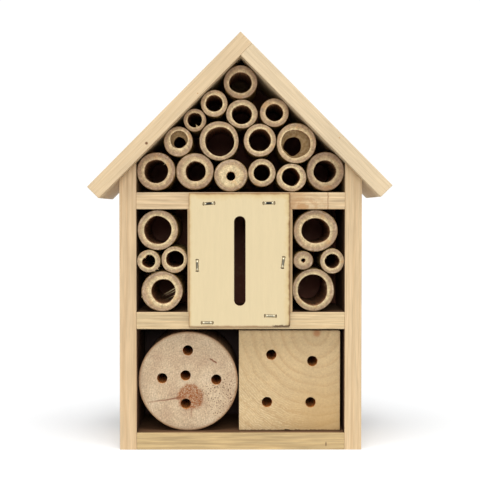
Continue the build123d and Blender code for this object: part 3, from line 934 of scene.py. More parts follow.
# %% Saw the panel
panel_low, panel_high = node_box_mm("butterfly_panel")
SCORCHED = [                    # axis, place, reach in mm, amount, tint
    ("Z", panel_high[2], 4.6, 0.5, "BC9A58"), ("X", panel_high[0], 4.2, 0.5, "BC9A58"),
    ("X", panel_low[0], 2.4, 0.35, "BC9A58"), ("Z", panel_high[2], 1.3, 0.85, "7A5029"),
    ("X", panel_high[0], 1.5, 0.95, "664019"), ("X", panel_low[0], 1.1, 0.7, "8A5E33"),
    ("Z", panel_low[2], 1.2, 0.8, "80552C"),
]
CHIPS = [                       # place, spread and depth in mm
    ((panel_high[0] - 3, panel_low[1], panel_low[2]), 9.0, 0.9),
    ((panel_high[0], panel_low[1], panel_low[2]), 4.0, 1.1),
    ((panel_low[0], panel_low[1], panel_high[2] - 3), 6.0, 0.5),
]


def broken_corner(tree, place_mm, colour):
    """The lower edge is torn and dark at its right end."""
    parts = add_node(tree, "SeparateXYZ", {}, {0: place_mm}).outputs
    torn = add_node(tree, "TexNoise", {"Scale": 0.5, "Detail": 3.0}, {"Vector": place_mm}).outputs[0]
    right_end = between(tree, parts["X"], panel_high[0] - 11.0, NO_HIGH, 3.0)
    height = ragged(tree, parts["Z"], torn, 2.6)
    low_edge = between(tree, height, NO_LOW, panel_low[2] + 2.5, 0.5, within=right_end)
    return stained(tree, colour, low_edge, "4A3018", 0.85)


panel_box = (panel_low, panel_high)
panel_ply = plywood("sanded_poplar_plywood", panel_box, "CBB992", "B39468", SCORCHED, stain_and_shade=broken_corner)
slot_wall = plywood(
    "routed_plywood_edge", panel_box, "96603A", "6B4127", [("Z", panel_high[2], 0.5, 0.2, "55301B")]
)
panel = board(
    "butterfly_panel_ply", upright_corners(panel_low, panel_high), panel_low[1], panel_high[1],
    [panel_ply, slot_wall], ease=0.22, pitch=3.0, chips=CHIPS, seed=31,
)
print("panel in mm:", [round(h - l, 1) for l, h in zip(panel_low, panel_high)])

# %% [markdown]
# ## The slot
# Butterflies creep in through a tall slot with round ends. The router leaves its wall brown, as if a
# little burnt. The panel's grid could be bent to follow the slot, but a solid with the router's own
# path is simply cut away, and the new wall takes that solid's material.

# %% Rout the slot
SLOT_W = 8.3 * MM
SLOT_L = 64.7 * MM
HALF_TURN = 24                  # steps round each end of the slot

openings = {o["name"]: o["box_m"] for o in frame["record"]["physics"]["openings"]}
slot_low, slot_high = openings["chamber_slot"]
slot_outline = []
for end in (1, -1):
    for i in range(HALF_TURN + 1):
        angle = math.pi * i / HALF_TURN + (0 if end > 0 else math.pi)
        x = (slot_low[0] + slot_high[0]) / 2 + SLOT_W / 2 * math.cos(angle)
        z = (slot_low[2] + slot_high[2]) / 2 + end * (SLOT_L - SLOT_W) / 2 + SLOT_W / 2 * math.sin(angle)
        slot_outline.append((x, z))
router = prism(
    "router", [Vector((x, slot_low[1], z)) for x, z in slot_outline],
    [Vector((x, slot_high[1], z)) for x, z in slot_outline], slot_wall,
)
print("slot outline:", len(slot_outline), "points")

# %% [markdown]
# ## The staples
# Six staples hold the panel and a dozen hold the back. Each is one piece of flattened wire, bent
# square with round shoulders: a U. A curve with a bevel would make it, but its section would be
# round or square, and real staple wire is flat with soft corners. So a section of twelve points is
# carried along the path, with its corners pulled out by a power of the sine and cosine. The middle
# of the crown is pressed deeper by the driver blade.

# %% Bend the wire
WIRE_W = 1.6 * MM
WIRE_T = 0.5 * MM
WIRE_SIDES = 12
CROWN = 8.1 * MM
LEG = 7.6 * MM
BEND = 0.8 * MM
BOW = 0.12 * MM                 # the driver blade presses the middle of the crown deeper
SUNK = 0.1 * MM
SHOULDER_STEPS = 8


def staple_path():
    """The wire's centre line: along the crown (u) and down the legs (d), with round shoulders."""
    half = CROWN / 2 - WIRE_T / 2
    path = [(-half, LEG)]
    for i in range(SHOULDER_STEPS + 1):
        angle = math.pi / 2 * i / SHOULDER_STEPS
        path.append((-half + BEND * (1 - math.cos(angle)), BEND * (1 - math.sin(angle))))
    mirrored = [(-u, d) for u, d in reversed(path)]
    path += [(half * t, BOW * (1 - (t / 0.75) ** 2)) for t in (-0.6, -0.45, -0.2, 0.0, 0.2, 0.45, 0.6)]
    return path + mirrored


def flat_section(angle):
    """A place on the flat wire's section, over its half width and half thickness."""
    c, s = math.cos(angle), math.sin(angle)
    return math.copysign(abs(c) ** 0.6, c), math.copysign(abs(s) ** 0.8, s)


def bend_wire(centre, u_axis, side_axis, out, reflection_darkness, vertices, dark_reflections, faces):
    """Adds one staple: the section carried along the path, closed at both points."""
    path = staple_path()
    start = len(vertices)
    for k, (u, d) in enumerate(path):
        before, after = path[max(k - 1, 0)], path[min(k + 1, len(path) - 1)]
        along_u, along_d = after[0] - before[0], after[1] - before[1]
        size = math.hypot(along_u, along_d)
        outer = out * (along_u / size) - u_axis * (along_d / size)
        for i in range(WIRE_SIDES):
            c, s = flat_section(2 * math.pi * i / WIRE_SIDES)
            rim = outer * (WIRE_T / 2 * s) + side_axis * (WIRE_W / 2 * c)
            vertices.append(centre + u_axis * u - out * d + rim)
            # the painted dark reflection along the middle of the crown
            dark_reflections.append(reflection_darkness * min(1.0, max(0.0, (0.62 - abs(u) / (CROWN / 2)) / 0.12)))
    last = start + (len(path) - 1) * WIRE_SIDES
    for a in range(start, last, WIRE_SIDES):
        for i in range(WIRE_SIDES):
            after = (i + 1) % WIRE_SIDES
            faces.append([a + i, a + after, a + WIRE_SIDES + after, a + WIRE_SIDES + i])
    faces.append(list(range(start, start + WIRE_SIDES))[::-1])
    faces.append(list(range(last, last + WIRE_SIDES)))


print("wire path:", len(staple_path()), "points")

# %% [markdown]
# ## The marks that the staples leave
# A pneumatic stapler drives each crown into the wood: it lies in a crushed groove, and the ply tears
# in a small crescent outside each leg. Seen from the front the crescents are what the eye reads as a
# staple, so they are really cut. A dark texture would be simpler, but would look painted from the
# side. The groove's wall is crushed, pale wood, and the crescent's torn wall is painted dark as shade.

# %% Cut the marks
GROOVE_HALF_W = 1.05 * MM
GROOVE_ROUND = 0.75 * MM        # from the crown's end to the middle of the groove's round end
CRESCENT = ((1.95 * MM, 1), (1.5 * MM, -1))     # outer and inner radius, and the way round
CRESCENT_IN = 1.35 * MM         # from the crown's end to the crescent's middle
CRESCENT_DEPTH = 1.5 * MM
CUT_ABOVE = 0.5 * MM


def mark_outlines(middle):
    """The groove's outline and the two crescents', as (u, side) points round the staple's middle."""
    groove = []
    for end in (1, -1):
        for i in range(9):
            angle = math.pi * (i / 8 - 0.5) + (0 if end > 0 else math.pi)
            wide = GROOVE_HALF_W * (1 + 0.15 * noise.noise(middle * 900 + Vector((i, end, 0))))
            groove.append((end * (CROWN / 2 - GROOVE_ROUND) + wide * math.cos(angle), wide * math.sin(angle)))
    crescents = []
    for end in (1, -1):
        crescent = []
        for radius, turn in CRESCENT:
            for i in range(9):
                angle = turn * math.radians(-48 + 12 * i)
                rough = radius * (1 + 0.08 * noise.noise(middle * 700 + Vector((i, end, turn))))
                at = CROWN / 2 - CRESCENT_IN + rough * math.cos(angle)
                crescent.append((end * at, rough * math.sin(angle)))
        crescents.append(crescent)
    return groove, crescents


def staple_cutters(middle, u_axis, side_axis, out):
    """The crushed groove under the crown, and the torn crescent outside each leg."""
    groove, crescents = mark_outlines(middle)
    marks = [(groove, SUNK + WIRE_T + BOW, crushed_ply)] + [(c, CRESCENT_DEPTH, torn_ply_painted_shade) for c in crescents]
    made = []
    for outline, depth, material in marks:
        rim = [middle + (u_axis * u + side_axis * v) for u, v in outline]
        above = [p + out * CUT_ABOVE for p in rim]
        made.append(prism("mark", above, [p - out * depth for p in rim], material))
    return made


# the torn crescents' walls are painted near black, as the shade inside the cut
crushed_ply, torn_ply_painted_shade = (
    plywood(name, panel_box, face, core, [("Z", panel_high[2], 0.5, 0.2, edge)])
    for name, face, core, edge in (
        ("crushed_plywood", "B79F74", "A5875A", "8A653C"), ("torn_plywood_painted_shade", "54402B", "463421", "3A2A1A"),
    )
)
print("groove's outline:", len(mark_outlines(Vector())[0]), "points")

# %% [markdown]
# ## Driving the staples
# Every staple goes where its solid lies in the imported model. The places could be typed in, but the
# crown's middle and direction are measured from the solid's own points, so they can't drift apart.
# The dark reflection is painted deepest on the upper crowns.

# %% Drive the staples
STAPLE_PROUD = 0.2 * MM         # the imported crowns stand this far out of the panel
# the painted dark reflection on the crowns: above this height, how dark
REFLECTION_DARKNESS_FROM = ((0.15, 1.0), (0.1, 0.72), (-1.0, 0.55))


def wire_staples(name, node_name, outward, proud):
    """All the staples of a node as closed solids, each where its CAD solid's crown lies."""
    vertices = []
    dark_reflections = []
    faces = []
    cutters = []
    out = Vector((0, outward, 0))
    for solid in islands(node_name):
        reach_out = solid[:, 1] * outward
        crown = solid[reach_out > reach_out.max() - 0.3 * MM]
        spread = crown - crown.mean(axis=0)
        along = np.linalg.svd(spread[:, [0, 2]])[2][0]
        u_axis = Vector((along[0], 0, along[1])).normalized()
        side_axis = out.cross(u_axis)
        middle = Vector((crown[:, 0].mean(), outward * (reach_out.max() - proud), crown[:, 2].mean()))
        centre = middle - out * (SUNK + WIRE_T / 2)
        reflection_darkness = next(amount for height, amount in REFLECTION_DARKNESS_FROM if middle.z > height)
        bend_wire(centre, u_axis, side_axis, out, reflection_darkness, vertices, dark_reflections, faces)
        cutters += staple_cutters(middle, u_axis, side_axis, out)
    piece = link_mesh(name, vertices, faces, [zinc_wire])
    store(piece, "scuff", "FLOAT", dark_reflections)
    finish_piece(piece, [node_name], smooth_angle=50)
    return cutters


cut(panel, [router] + wire_staples("panel_staple_wire", "panel_staples", -1, STAPLE_PROUD))
finish_piece(panel, ["butterfly_panel"])
print("panel faces:", len(panel.data.polygons))

# %% [markdown]
# ## The back panel
# One gabled sheet of the same plywood closes the back and has a hanging hole near its top. Its inner
# face is painted dark brown as shade, and darker still behind the log and the block, so that the gaps
# between the tubes look deep. A plane would do for something so hidden, but the back is seen when the
# hotel is turned round, so it is a closed sheet with eased edges and its own staples.

# %% Saw the back
back_low, back_high = node_box_mm("back_panel")
BACK_EASE = 0.25
LOWER_CELL_MM = 92.0


def painted_shade_lower_cell(tree, place_mm, colour):
    """Painted shade: the inner face is darker still behind the log and the block."""
    parts = add_node(tree, "SeparateXYZ", {}, {0: place_mm}).outputs
    inner_face = between(tree, parts["Y"], NO_LOW, back_low[1] + 0.3, 0.2)
    lower_cell = between(tree, parts["Z"], NO_LOW, LOWER_CELL_MM, 2.0, within=inner_face)
    return stained(tree, colour, lower_cell, "2E1A10", 0.9)


# painted shade: the inner face is tinted dark reddish brown, and darker still in the lower cell
back_ply = plywood(
    "sanded_backing_plywood", (back_low, back_high), "B99C70", "957247",
    [("Y", back_low[1], 0.5, 0.95, "7C3E26")], stain_and_shade=painted_shade_lower_cell,
)
left_shoulder, right_shoulder = (
    back_high[2] - abs(edge - ridge[0]) * math.tan(ROOF_PITCH) for edge in (back_low[0], back_high[0])
)
gable_outline = np.array([
    (back_low[0], back_low[2]), (back_low[0], left_shoulder), (ridge[0], back_high[2]),
    (back_high[0], right_shoulder), (back_high[0], back_low[2]),
])
gable_middle = gable_outline.mean(axis=0)
vertices = []
for y, pull in (
    (back_low[1], BACK_EASE), (back_low[1] + BACK_EASE, 0.0),
    (back_high[1] - BACK_EASE, 0.0), (back_high[1], BACK_EASE),
):
    for corner in gable_outline:
        toward = corner - gable_middle
        x, z = corner - toward / np.linalg.norm(toward) * pull
        vertices.append((x * MM, y * MM, z * MM))
n = len(gable_outline)
faces = [list(range(n))[::-1], list(range(3 * n, 4 * n))]
for layer in range(3):
    for i in range(n):
        a, b = layer * n + i, layer * n + (i + 1) % n
        faces.append([a, b, b + n, a + n])
back = link_mesh("back_panel_ply", vertices, faces, [back_ply])
print("shoulders at", round(left_shoulder, 1), "and", round(right_shoulder, 1), "mm")

# %% [markdown]
# ## The hanging hole
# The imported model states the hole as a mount, with its place and radius. A drill could be a curve
# with a bevel, but a plain rod that is longer than the sheet is thick cuts cleaner. It is cut away
# together with the marks of the back's staples, which lie flush, so that the back hangs flat.

# %% Drill and staple the back
hanging_hole = next(m for m in frame["record"]["mounts"] if m["name"] == "hanging_hole")
hole_at = Vector(hanging_hole["pos_m"])
through = Vector((0, 5 * MM, 0))
back_marks = wire_staples("back_staple_wire", "back_panel_staples", 1, 0.0)
hole_radius = hanging_hole["dims"]["r_mm"] * MM
hanging = rod("hanging_drill", hole_at - through, hole_at + through, hole_radius, slot_wall, sides=48)
cut(back, [hanging] + back_marks)
finish_piece(back, ["back_panel"])
print("back panel faces:", len(back.data.polygons))

# %% [markdown]
# ## The sawn end of bamboo
# A bamboo cane is a hollow grass. Its wall is packed with dark fibre bundles that crowd towards the
# skin, so a sawn end shows a pale line by the bore, a browner middle, and fine dots all over, with
# dried sap in orange patches. The saw leaves a fuzzy pale line by the skin too. The bands could be
# drawn by the distance from the middle, but no cane is round, so the material reads values stored on
# the mesh's points: how far out through the wall a point is, its place on the unrolled wall for the
# streaks, and the cane's own tint. The bundles are 0.5 mm apart, and are drawn at 0.8 mm to show.

# %% Sawn bamboo
RAYS = (0.8, 0.8, 0.1)          # waves to a millimetre, through the wall
HOOPS = (0.24, 0.24, 0.9)       # and round it
BLOTCHES = 0.5                  # 2 mm
BUNDLES = 1.25                  # dots 0.8 mm apart
SAP_PATCHES = 0.13              # 8 mm
SAW_GRIT = 1.6                  # 0.6 mm
WANDER = 0.95                   # how far the bands wander, over the wall's thickness
FLESH = [
    (0.0, "C4AD84"), (0.07, "D2BD94"), (0.28, "C2AB82"), (0.55, "A68B6A"), (0.78, "A0856A"), (0.9, "BCA68A"),
    (1.0, "8A6B49"),
]


def sawn_bamboo(name):
    """The end face: pale and brown bands, dark bundles, sap, and a thin dark line of skin."""
    material, tree, shader, place_mm = new_material(name)
    wall = add_node(tree, "Attribute", {"attribute_name": "wall"}).outputs["Fac"]
    tint = add_node(tree, "Attribute", {"attribute_name": "tint"}).outputs["Vector"]
    unrolled = add_node(tree, "Attribute", {"attribute_name": "unrolled"}).outputs["Vector"]
    rays = streaks(tree, unrolled, RAYS, 4.0, 0.7)
    hoops = streaks(tree, unrolled, HOOPS)
    blotch = add_node(
        tree, "TexNoise", {"Scale": BLOTCHES, "Detail": 5.0, "Roughness": 0.7}, {"Vector": place_mm}
    )
    # the pale and brown bands wander a little through the wall
    wander = add_node(tree, "Math", {"operation": "SUBTRACT", 1: 0.5}, {0: hoops})
    band = ragged(tree, wall, wander.outputs[0], WANDER)
    flesh = add_node(tree, "ValToRGB", {"stops": [(at, linear(tone)) for at, tone in FLESH]}, {"Fac": band})
    dots = add_node(tree, "TexVoronoi", {"Scale": BUNDLES, "Randomness": 0.9}, {"Vector": place_mm})
    spots = between(tree, dots.outputs["Distance"], NO_LOW, 0.12, 0.33)
    crowd = add_node(tree, "MapRange", {"To Min": 0.15, "To Max": 0.5}, {"Value": wall})
    dotted = add_node(tree, "Math", {"operation": "MULTIPLY"}, {0: spots, 1: crowd.outputs[0]})
    colour = stained(tree, flesh.outputs[0], dotted.outputs[0], "6E5236")
    colour = dappled(tree, colour, [(blotch.outputs[0], 0.3, 0.7, 0.64, 1.32), (rays, 0.3, 0.7, 0.84, 1.14)])
    patch = add_node(
        tree, "TexNoise", {"Scale": SAP_PATCHES, "Detail": 3.0, "Roughness": 0.6}, {"Vector": place_mm}
    )
    colour = stained(tree, colour, between(tree, patch.outputs[0], 0.72, NO_HIGH, 0.15), "B98B55", 0.5)
    colour = stained(tree, colour, between(tree, wall, 1.0, NO_HIGH, 0.18), "74573C", 0.8)
    tinted = add_node(tree, "VectorMath", {"operation": "MULTIPLY"}, {0: colour, 1: tint})
    saw = add_node(
        tree, "TexNoise", {"Scale": SAW_GRIT, "Detail": 5.0, "Roughness": 0.7}, {"Vector": place_mm}
    )
    dress(tree, shader, tinted.outputs[0], saw.outputs[0], 0.6, 0.3, 0.7, 0.3)
    return material


bamboo_end = sawn_bamboo("sawn_bamboo_end")
print("bundles drawn", 1 / BUNDLES, "mm apart")

# %% [markdown]
# ## Skin, lining and node wall
# A cane's skin is hard and slightly waxy, and the lining of its bore is dull, and painted darker and
# redder as the shade deep in the bore. The wall across the cane at a node is pithy and pale. All three
# are plain streaks along the cane in two tones. They could share one material, but a waxy surface and
# a dull one need their own roughness.

# %% Cane surfaces
CANE_STREAKS = 1.6              # waves to a millimetre across: 0.6 mm wide
PITH_STREAKS = 0.5              # 2 mm wide
ALONG_CANE = 0.04               # 25 mm long


def cane_surface(name, pale, dark, rough, across=CANE_STREAKS):
    """Skin, lining or node wall: long streaks along the cane."""
    material, tree, shader, place_mm = new_material(name)
    tint = add_node(tree, "Attribute", {"attribute_name": "tint"}).outputs["Vector"]
    streak = streaks(tree, place_mm, (across, ALONG_CANE, across), 3.0, 0.5)
    tones = [(0.35, linear(dark)), (0.65, linear(pale))]
    colour = add_node(tree, "ValToRGB", {"stops": tones}, {"Fac": streak}).outputs[0]
    tinted = add_node(tree, "VectorMath", {"operation": "MULTIPLY"}, {0: colour, 1: tint})
    dress(tree, shader, tinted.outputs[0], streak, 0.3, 0.1, rough, 0.5)
    return material


bamboo_skin = cane_surface("waxy_bamboo_skin", "B59A68", "8B6D40", 0.42)
# the lining's dark red-brown is painted shade for the deep bore
shaded_bamboo_lining = cane_surface("dull_bamboo_lining_painted_shade", "A5754A", "6B4329", 0.75)
bamboo_node = cane_surface("pithy_bamboo_node_wall", "A0865E", "84693F", 0.8, across=PITH_STREAKS)
CANE_MATERIALS = [bamboo_end, bamboo_skin, shaded_bamboo_lining, bamboo_node]
END, SKIN, LINING, NODE = range(4)
print("bamboo materials:", [m.name for m in CANE_MATERIALS])

# %% [markdown]
# ## What makes each cane different
# The canes were picked from a mixed bundle: some bores are plainly not round, some wander, two show
# the wall of a node behind the cut, and one is closed deep inside. Their ends run from nearly white
# to brown. All of that could be left to chance, but then the gable would not look like this one, so
# what the eye notices is listed, and only the small unevenness is random, from a fixed seed.

# %% List the canes
BORES_MM = {                    # bore, and its middle off the cane's: these two are too small for an opening
    "gable_tube_12": (6.5, 0, -0.5), "right_tube_02": (3.0, 0, 0),
}
BORE_SHAPE = {                  # width and height of the bore over its mean, where it isn't round
    "gable_tube_01": (1.04, 0.96), "gable_tube_03": (1.05, 0.96), "gable_tube_07": (1.01, 0.99),
    "gable_tube_09": (1.02, 0.99), "left_tube_03": (1.03, 0.96), "right_tube_01": (1.06, 0.93),
    "right_tube_04": (0.98, 1.02),
}
BORE_WANDER = 0.04              # of its radius, and of those that wander more:
ROUGH_BORES = {"gable_tube_14": 0.08, "right_tube_02": 0.12, "gable_tube_09": 0.055, "gable_tube_11": 0.05}
HEART_SHAPED = "left_tube_02"   # a dent in its upper left makes this bore heart-shaped
HEART_DENT = (0.24, math.radians(135), 0.42)    # depth over the radius, direction, width in radians
NODE_WALLS = {                  # depth of the wall, size of its hole over the bore, hole's place in mm
    "gable_tube_01": (60.0, 0.0, 0.0, 0.0),
    "gable_tube_06": (6.6, 0.66, 0.2, -1.9),
    "gable_tube_09": (8.8, 0.64, -1.9, -1.3),
}
CANE_TINTS = {                  # how light each cane's end is, and how red-brown (minus is greyer)
    "gable_tube_01": (0.83, 1.0), "gable_tube_02": (1.12, 0.0), "gable_tube_03": (1.0, 0.0),
    "gable_tube_04": (1.06, 0.6), "gable_tube_05": (0.95, 0.8), "gable_tube_06": (1.09, 0.2),
    "gable_tube_07": (0.91, 0.2), "gable_tube_08": (1.05, 0.0), "gable_tube_09": (1.1, 0.3),
    "gable_tube_10": (0.89, 0.9), "gable_tube_11": (0.92, 0.4), "gable_tube_12": (1.02, -0.2),
    "gable_tube_13": (0.97, -0.1), "gable_tube_14": (1.12, -0.5), "gable_tube_15": (0.77, 0.8),
    "left_tube_01": (1.0, -0.1), "left_tube_02": (1.03, -0.6), "left_tube_03": (1.05, -0.3),
    "left_tube_04": (1.02, 0.0), "right_tube_01": (0.95, 0.1), "right_tube_02": (0.84, 0.3),
    "right_tube_03": (0.97, -0.3), "right_tube_04": (0.93, -0.3),
}
# splinters that stand out: angle round the rim, reach in mm (minus is into the bore), swing, width
SPLINTERS = {
    "gable_tube_05": [(292, -2.9, 14, 0.5), (284, -2.0, -18, 0.42), (300, -1.5, 30, 0.3)],
    "left_tube_02": [(300, 1.3, 15, 0.3), (318, 1.6, -10, 0.3), (335, 0.9, 20, 0.22)],
    "left_tube_04": [(14, -11.5, 16, 0.17), (4, -10.0, 24, 0.12), (-20, -8.0, 46, 0.12), (196, 1.2, 30, 0.4)],
    "gable_tube_09": [(95, -2.5, 10, 0.2), (110, -2.0, -30, 0.2)],
    "gable_tube_10": [(40, -2.2, 15, 0.14)],
    "right_tube_04": [(20, -2.5, -20, 0.12)],
}
tube_nodes = sorted(name for name in frame["nodes"] if "_tube_" in name)
print("canes:", len(tube_nodes), "tints:", len(CANE_TINTS))

# %% [markdown]
# ## Outline and bore
# No cane is a perfect pipe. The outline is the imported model's ellipse with a slow wave round it, and
# the bore waves on its own. Noise would do, but it has no closed period, so the wave is made of a
# few harmonics: cosines that fit the turn a whole number of times, with seeded sizes and phases.

# %% Shape a cane
SIDES = 96
SKIN_WAVE = 0.016               # of the radius, inward only, so that the cane stays in its place
BORE_OVER_BOX = 0.28            # the opening's box is this much inside the bore's circle, in mm
TORN_MM = 0.5 * 0.25            # how far the bore's rim is torn

angles = np.linspace(0, 2 * math.pi, SIDES, endpoint=False)
circle = np.stack([np.cos(angles), np.sin(angles)], axis=1)


def wave_round(chance, most, count=5):
    """A closed wave round the cane, from -most to most, made of a few seeded harmonics."""
    parts = [(k, chance.uniform(0.3, 1.0) / k, chance.uniform(0, 2 * math.pi)) for k in range(2, 2 + count)]
    size = sum(p[1] for p in parts)
    return most * sum(a * np.cos(k * angles + f) for k, a, f in parts) / size


def shape_cane(node_name, seed):
    """A cane's measures in mm: its box, its bore, and the outlines of both as the seed makes them."""
    chance = random.Random(seed)
    low, high = node_box_mm(node_name)
    middle = np.array([low[0] + high[0], low[2] + high[2]]) / 2
    half = np.array([high[0] - low[0], high[2] - low[2]]) / 2
    if node_name in BORES_MM:
        bore, shift_x, shift_z = BORES_MM[node_name]
        bore_middle = middle + np.array([shift_x, shift_z])
    else:
        bore_low, bore_high = openings[node_name + "_bore"]
        bore_middle = np.array([bore_low[0] + bore_high[0], bore_low[2] + bore_high[2]]) / 2 / MM
        bore = (bore_high[0] - bore_low[0]) / MM * math.sqrt(2) + BORE_OVER_BOX
    skin = middle + circle * half * (1 - SKIN_WAVE - wave_round(chance, SKIN_WAVE))[:, None]
    bore_wave = 1 + wave_round(chance, ROUGH_BORES.get(node_name, BORE_WANDER))
    if node_name == HEART_SHAPED:
        depth, direction, width = HEART_DENT
        bore_wave -= depth * np.exp(-((angles - direction) / width) ** 2)
    bore_half = np.array(BORE_SHAPE.get(node_name, (1, 1))) * bore / 2
    bore_line = bore_middle + circle * bore_half * bore_wave[:, None]
    torn = circle * wave_round(chance, TORN_MM, count=26)[:, None] * 0.35
    lean = np.array((chance.uniform(-0.012, 0.012), chance.uniform(-0.02, 0.008)))
    return SimpleNamespace(
        name=node_name, seed=seed, chance=chance, low=low, high=high, middle=middle, half=half, bore=bore,
        bore_middle=bore_middle, skin=skin, bore_line=bore_line, torn=torn, lean=lean,
    )


trial = shape_cane("gable_tube_07", 0)
print("widest cane:", round(2 * trial.half[0], 1), "mm, bore", round(trial.bore, 1), "mm")

# %% [markdown]
# ## The cane's sheet
# A tube's mesh could be two pipes joined by rings. Here it is one sheet wrapped through the sawn
# end, down the bore and back along the skin, so that it closes on itself and has no seam. The sheet
# keeps its lists together: points, faces, each face's material, and the values that the materials
# read. In a thick wall the bands keep their distance from the skin, and the inner flesh is all pale.
# A narrow bore is lined with paler flesh than a wide one.

# %% Rings, slivers and the saw cut
BANDED_MM = 6.0                 # the bands fill a wall up to this thick
SEED_STEP = 40.0                # shifts the streaks of each cane
SLIVER_TINT = (1.25, 1.22, 1.15)
RIM_RELIEF = {0.0: 0.28, 0.05: 0.08, 0.95: 0.08, 1.0: 0.28}     # the saw rounds both rims, in mm
RIM_PULL = {0.0: 0.12, 1.0: -0.2}


class CaneSheet:
    """The lists of one cane's mesh."""

    def __init__(self, cane):
        """Starts with empty lists, and works out the cane's tints."""
        self.cane = cane
        self.vertices, self.walls, self.unrolled, self.tints, self.faces, self.kinds = [], [], [], [], [], []
        light, brown = CANE_TINTS[cane.name]
        self.tint = (light, light * (1 - 0.06 * brown), light * (1 - 0.07 * brown))
        # a narrow bore's lining is painted less dark
        pale = min(2.2, max(1.0, 11.0 / cane.bore))
        self.lining_tint = (light * pale,) * 3
        self.mean_radius = (cane.half.mean() + cane.bore / 2) / 2
        self.thickness = cane.half.mean() - cane.bore / 2

    def ring(self, points, depth, wall, lining=False):
        """Adds one ring of points and returns its first index."""
        start = len(self.vertices)
        self.vertices.extend([Vector((p[0], d, p[1])) * MM for p, d in zip(points, depth)])
        self.walls.extend([1 - min(1.0, (1 - wall) * max(1.0, self.thickness / BANDED_MM))] * SIDES)
        through = wall * self.thickness + SEED_STEP * self.cane.seed
        self.unrolled.extend([(c[0] * self.mean_radius, c[1] * self.mean_radius, through) for c in circle])
        self.tints.extend([self.lining_tint if lining else self.tint] * SIDES)
        return start

    def join(self, rings, kind):
        """Joins rings into quads of one material."""
        for a, b in zip(rings, rings[1:]):
            for i in range(SIDES):
                after = (i + 1) % SIDES
                self.faces.append([a + i, a + after, b + after, b + i])
                self.kinds.append(kind)

    def sliver(self, base, tip, width):
        """A torn fibre: a thin closed spike from base to tip."""
        way = tip - base
        across = way.cross(Vector((0.3, 1.0, 0.2))).normalized() * width
        over = way.cross(across).normalized() * width * 0.6
        start = len(self.vertices)
        self.vertices.extend([base + across, base - across * 0.6 + over, base - across * 0.4 - over, tip])
        self.walls.extend([0.1] * 4)
        self.unrolled.extend([(0.0, 0.0, 0.0)] * 4)
        self.tints.extend([SLIVER_TINT] * 4)
        for a, b, c in ((0, 1, 3), (1, 2, 3), (2, 0, 3), (0, 2, 1)):
            self.faces.append([start + a, start + b, start + c])
            self.kinds.append(END)


def cut_depth(cane, points, relief):
    """How far back the sawn face lies at these points: the cut leans a little, and the saw is rough."""
    tilt = (points - cane.middle) @ cane.lean
    room = abs(cane.lean[0]) * cane.half[0] + abs(cane.lean[1]) * cane.half[1]
    grit = np.array([noise.noise(Vector((p[0] * 0.5, cane.seed, p[1] * 0.5))) for p in points])
    return cane.low[1] + room + tilt + relief + 0.10 + 0.10 * grit


print("points in a ring:", SIDES)

# %% [markdown]
# ## End, skin, bore and node wall
# The rings through the end lie closer together near both rims, where the saw rounds them. Those
# along the cane lie close by the cut and far apart behind. A cane that was cut near a node keeps a
# thin wall inside, dished like the real one, with a ragged hole where it was broken through. It
# could be a flat disc, but light falls in at a slant, and the dish shows as a soft crescent.

# %% Wrap a cane
WALL_STEPS = (0.0, 0.05, 0.14, 0.3, 0.5, 0.7, 0.86, 0.95, 1.0)
DEPTHS_MM = (0.35, 1.0, 2.5, 6.0, 14.0, 30.0)
RING_BACK = 0.1                 # the first ring behind the cut is drawn this much forward
CALM_MM = 2.5                   # the torn rim calms down over this depth
NODE_LAYERS = [                 # depth from the node's middle, and share of the way from hole to bore
    (1.9, 0.0), (0.6, 0.05), (0.2, 0.4), (-1.9, 0.93), (-2.6, 1.02), (2.6, 1.02), (2.3, 0.4), (2.1, 0.04),
]


def wrap_cane(sheet):
    """The end, the skin and the bore; returns the first index of the bore's rim and of the skin's."""
    cane = sheet.cane
    rim = cane.bore_line + cane.torn
    end = []
    for share in WALL_STEPS:
        points = rim * (1 - share) + cane.skin * share + circle * RIM_PULL.get(share, 0.0)
        end.append(sheet.ring(points, cut_depth(cane, points, RIM_RELIEF.get(share, 0.0)), share))
    sheet.join(end[::-1], END)
    back = np.full(SIDES, cane.high[1])
    front = np.array([v[1] for v in sheet.vertices[end[-1]:end[-1] + SIDES]]) / MM
    mouth = np.array([v[1] for v in sheet.vertices[end[0]:end[0] + SIDES]]) / MM
    skin = [end[-1]] + [sheet.ring(cane.skin, front + depth - RING_BACK, 1.0) for depth in DEPTHS_MM]
    skin.append(sheet.ring(cane.skin, back, 1.0))
    sheet.join(skin[::-1], SKIN)
    bore = [end[0]]
    for depth in DEPTHS_MM:
        points = cane.bore_line + cane.torn * max(0.0, 1 - depth / CALM_MM)
        bore.append(sheet.ring(points, mouth + depth - RING_BACK, 0.0, lining=True))
    bore.append(sheet.ring(cane.bore_line, back, 0.0, lining=True))
    sheet.join(bore, LINING)
    sheet.join([bore[-1], skin[-1]], END)
    return end[0], end[-1]


def add_node_wall(sheet):
    """The thin wall across a cane at a node, with a ragged hole, or closed."""
    cane = sheet.cane
    depth, share, hole_x, hole_z = NODE_WALLS[cane.name]
    hole_middle = cane.bore_middle + np.array([hole_x, hole_z])
    hole = hole_middle + circle * (cane.bore / 2 * share) * (1 + wave_round(cane.chance, 0.13))[:, None]
    layers = []
    for back, blend in NODE_LAYERS:
        points = hole * (1 - blend) + cane.bore_line * blend
        layers.append(sheet.ring(points, np.full(SIDES, cane.low[1] + depth + back), 0.2))
    if share > 0:
        sheet.join((layers + [layers[0]])[::-1], NODE)
        return
    sheet.join(layers[::-1], NODE)
    sheet.faces.append(list(range(layers[0], layers[0] + SIDES)))
    sheet.faces.append(list(range(layers[-1], layers[-1] + SIDES))[::-1])
    sheet.kinds.extend([NODE, NODE])


print("rings through the wall:", len(WALL_STEPS))

